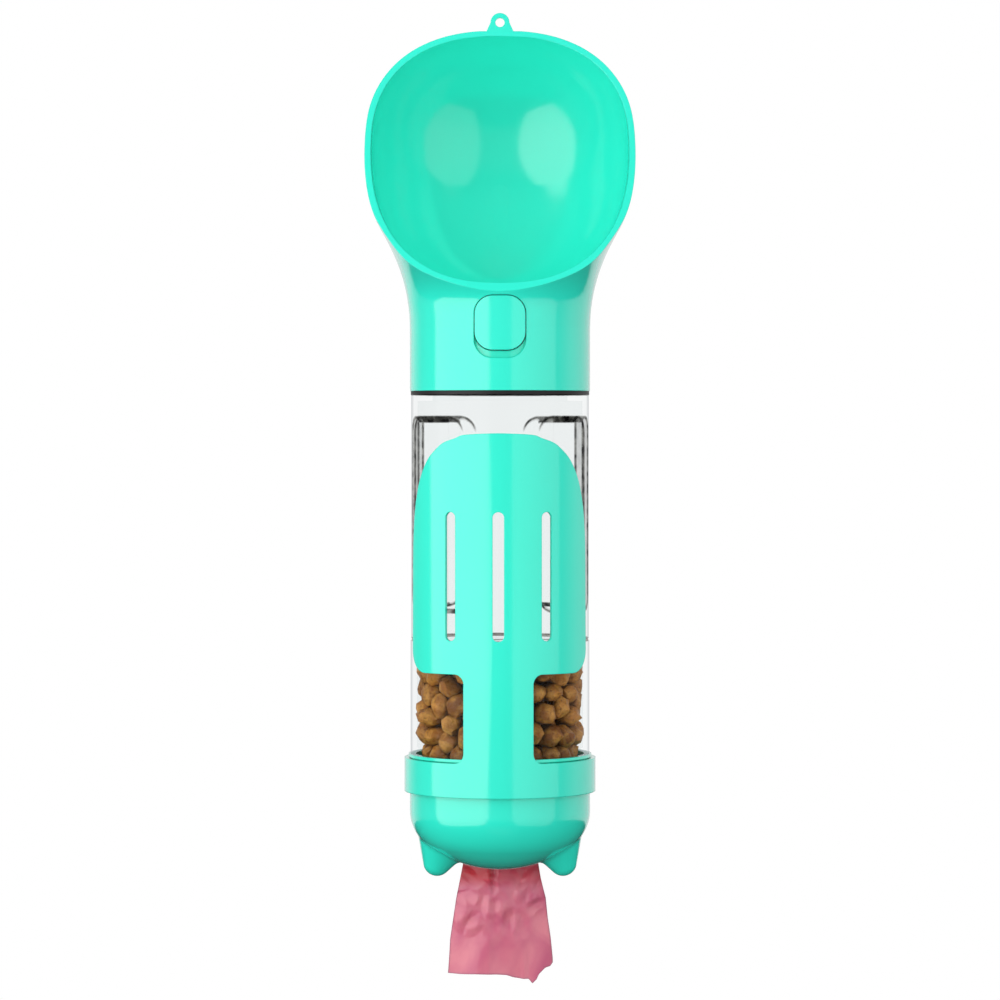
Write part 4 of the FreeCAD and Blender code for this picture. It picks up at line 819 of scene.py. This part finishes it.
def pressed_spring(node, name, material):
    """A copy of a CAD spring, its points merged and smoothed, which rides the head in place of the CAD node.
    """
    mesh = NODES[node].data.copy()
    mesh.transform(NODES[node].matrix_world)
    spring = new_object(name, mesh)
    bpy.ops.object.mode_set(mode="EDIT")
    bpy.ops.mesh.select_all(action="SELECT")
    bpy.ops.mesh.remove_doubles(threshold=MERGE_DISTANCE)
    bpy.ops.object.mode_set(mode="OBJECT")
    bpy.ops.object.shade_smooth_by_angle(angle=math.radians(70))
    dress(material, spring)
    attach(spring, "head")
    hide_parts(node)
    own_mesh(spring)


# The end of the bag

# Its sides, as height, left and right, and the points of its torn foot, in mm
TAIL_SIDES = [
    (-288.0, -12.3, 12.3),
    (-294.0, -12.9, 13.4),
    (-299.7, -14.0, 14.35),
    (-306.7, -15.4, 16.1),
    (-313.7, -16.45, 16.8),
    (-320.7, -17.5, 17.85),
    (-327.7, -17.9, 18.55),
    (-336.0, -18.5, 18.8),
]
TORN_EDGE = [
    (-18.5, -333.0),
    (-14.2, -333.2),
    (-8.9, -333.0),
    (-1.4, -333.1),
    (2.1, -333.4),
    (4.6, -334.3),
    (8.0, -334.9),
    (9.9, -334.9),
    (11.1, -336.6),
    (12.9, -334.9),
    (13.3, -333.5),
    (15.8, -331.2),
    (17.5, -330.8),
    (18.5, -329.5),
]
# its mesh and its creases; how far each layer bulges, and how wide its denser rim is, in mm
TAIL_COLUMNS = 76
TAIL_ROWS = 96
CREASE_COUNT = 34
TAIL_BULGE = 0.5
TAIL_RIM = 0.55


def crumples():
    """Short straight creases near the slot, each a place, a direction, a reach and a steepness."""
    rng = np.random.default_rng(23)
    creases = []
    for _ in range(CREASE_COUNT):
        place = np.array([rng.uniform(-13, 14), rng.uniform(-316, -297)])
        turn = rng.uniform(0, math.pi)
        way = np.array([math.cos(turn), math.sin(turn)])
        creases.append((place, way, rng.uniform(3.0, 7.0), rng.uniform(-0.8, 0.8)))
    return creases


def film_depth(x, height, creases):
    """How far back the film lies, in mm: a ridge, a deep fold, a lap at its foot, waves and creases."""
    # the ridge runs down it, 3.8 mm left of its middle, and the deep fold beside it for 16 mm
    ridge = 0.24 * math.hypot(x + 3.8, 0.25) - 1.2
    deep = 1.5 * math.exp(-(((x + 2.2) / 1.0) ** 2)) / (1 + math.exp(-(height + 304.0) / 1.2))
    # the lap comes forward at the right, in the lowest 10 mm
    lap = 0.4 * math.exp(-(((x - 8.4) / 1.1) ** 2)) / (1 + math.exp((height + 326.0) / 1.5))
    # slow waves, and the creases, which fade out at their reach
    wave = 0.35 * math.sin(0.3 * x + 0.11 * height) + 0.2 * math.sin(0.55 * x - 0.2 * height)
    folded = 0.0
    for place, way, reach, steepness in creases:
        away = np.array([x, height]) - place
        near = 1 - (away @ away) / reach**2
        if near > 0:
            folded += steepness * abs(away @ way) * near**1.5
    return ridge + deep - lap + wave + folded


def bag_film(material):
    """A flat tube of film, creased where it was folded on the roll, torn off at its foot."""
    # its sides from the foot up, as interp takes them
    heights, left, right = (np.array(column)[::-1] for column in zip(*TAIL_SIDES))
    edge_x, edge_z = zip(*TORN_EDGE)
    start = heights[-1]
    creases = crumples()
    vertices = []
    doubled = []
    bunched_and_shaded = []
    for side in (-1, 1):
        for row in range(TAIL_ROWS + 1):
            for column in range(TAIL_COLUMNS + 1):
                across = column / TAIL_COLUMNS
                end = np.interp(edge_x[0] + (edge_x[-1] - edge_x[0]) * across, edge_x, edge_z)
                height = start + (end - start) * row / TAIL_ROWS
                near = np.interp(height, heights, left)
                x = near + (np.interp(height, heights, right) - near) * across
                # its two layers bulge apart, and meet at the sides
                pillow = TAIL_BULGE * (1 - (2 * across - 1) ** 6) * side
                vertices.append((x * MM, (film_depth(x, height, creases) + pillow) * MM, height * MM))
                # how near a side or the foot is
                rim = min(across, 1 - across) * (right[0] - left[0])
                foot = height - end
                doubled.append(max(0.0, 1 - min(rim, foot) / TAIL_RIM))
                # from 16 mm below the slot up, where the layers bunch and the painted shade and reflection
                # lie, most of all left of the deep fold
                left_of_fold = smooth_step((-2.0 - x) / 1.5)
                bunched_and_shaded.append(smooth_step((height + 304) / 6) * (0.7 + 0.3 * left_of_fold))
    faces = []
    wide = TAIL_COLUMNS + 1
    count = (TAIL_ROWS + 1) * wide
    for layer in (0, 1):
        for row in range(TAIL_ROWS):
            for column in range(TAIL_COLUMNS):
                a = layer * count + row * wide + column
                face = (a, a + 1, a + wide + 1, a + wide)
                faces.append(face if layer else face[::-1])
    mesh = bpy.data.meshes.new("bag_film")
    mesh.from_pydata(vertices, [], faces)
    mark(mesh, "doubled", doubled)
    mark(mesh, "bunched_and_shaded", bunched_and_shaded)
    film = new_object("bag_film", mesh)
    bpy.ops.object.shade_smooth()
    film.data.materials.append(material)
    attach(film, "box")
    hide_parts("bag_tail")
    # the glossy box and scoop don't mirror it
    film.visible_glossy = False


# The scene put together

camera()
lights()
sky()
floor()
teal = glossy_abs()
clear = clear_moulding("clear_moulded_san", bore=0.0, painted_shade_depth=1.0)
clear_cup = clear_moulding("clear_moulded_cup", bore=CUP_BORE * MM, painted_shade_depth=0.0)
clear_inside = clear_moulding("clear_inner_wall", bore=WHOLE_BORE * MM, painted_shade_depth=0.0)
acetal = satin_acetal()
silicone = moulded_silicone()
rubber = black_rubber()
board = wound_board()
steel = drawn_steel()
dress(teal, "drinking_head", "water_button", "scoop", "bag_box")
dress(clear_cup, "food_container")
clear_bottle(clear, clear_inside)
neck = {"radius": NECK_RADIUS * MM, "top": (NECK_TOP - 2.2) * MM}
thread("neck_thread", clear, **neck, turns=1.5, pitch=3.2 * MM, rise=0.3 * MM)
stub = {"radius": STUB_RADIUS * MM, "top": (BASE_LEVEL - 1.9) * MM}
thread("stub_thread", clear, **stub, turns=1.25, pitch=2.8 * MM, rise=0.35 * MM)
dress(silicone, "outlet_seal", "stem_seal", "valve_plug")
dress(milky_silicone(), "container_gasket")
dress(acetal, "neck_cap", "press_carriage", "valve_stem")
dress(rubber, "head_gasket")
dress(steel, "gland_washer")
pressed_spring("valve_spring", "wound_valve_spring", steel)
pressed_spring("button_springs", "wound_button_springs", steel)
dress(wound_film(), "bag_roll")
dress(board, "roll_core")
dry_food(baked_food())
bag_film(blown_film())
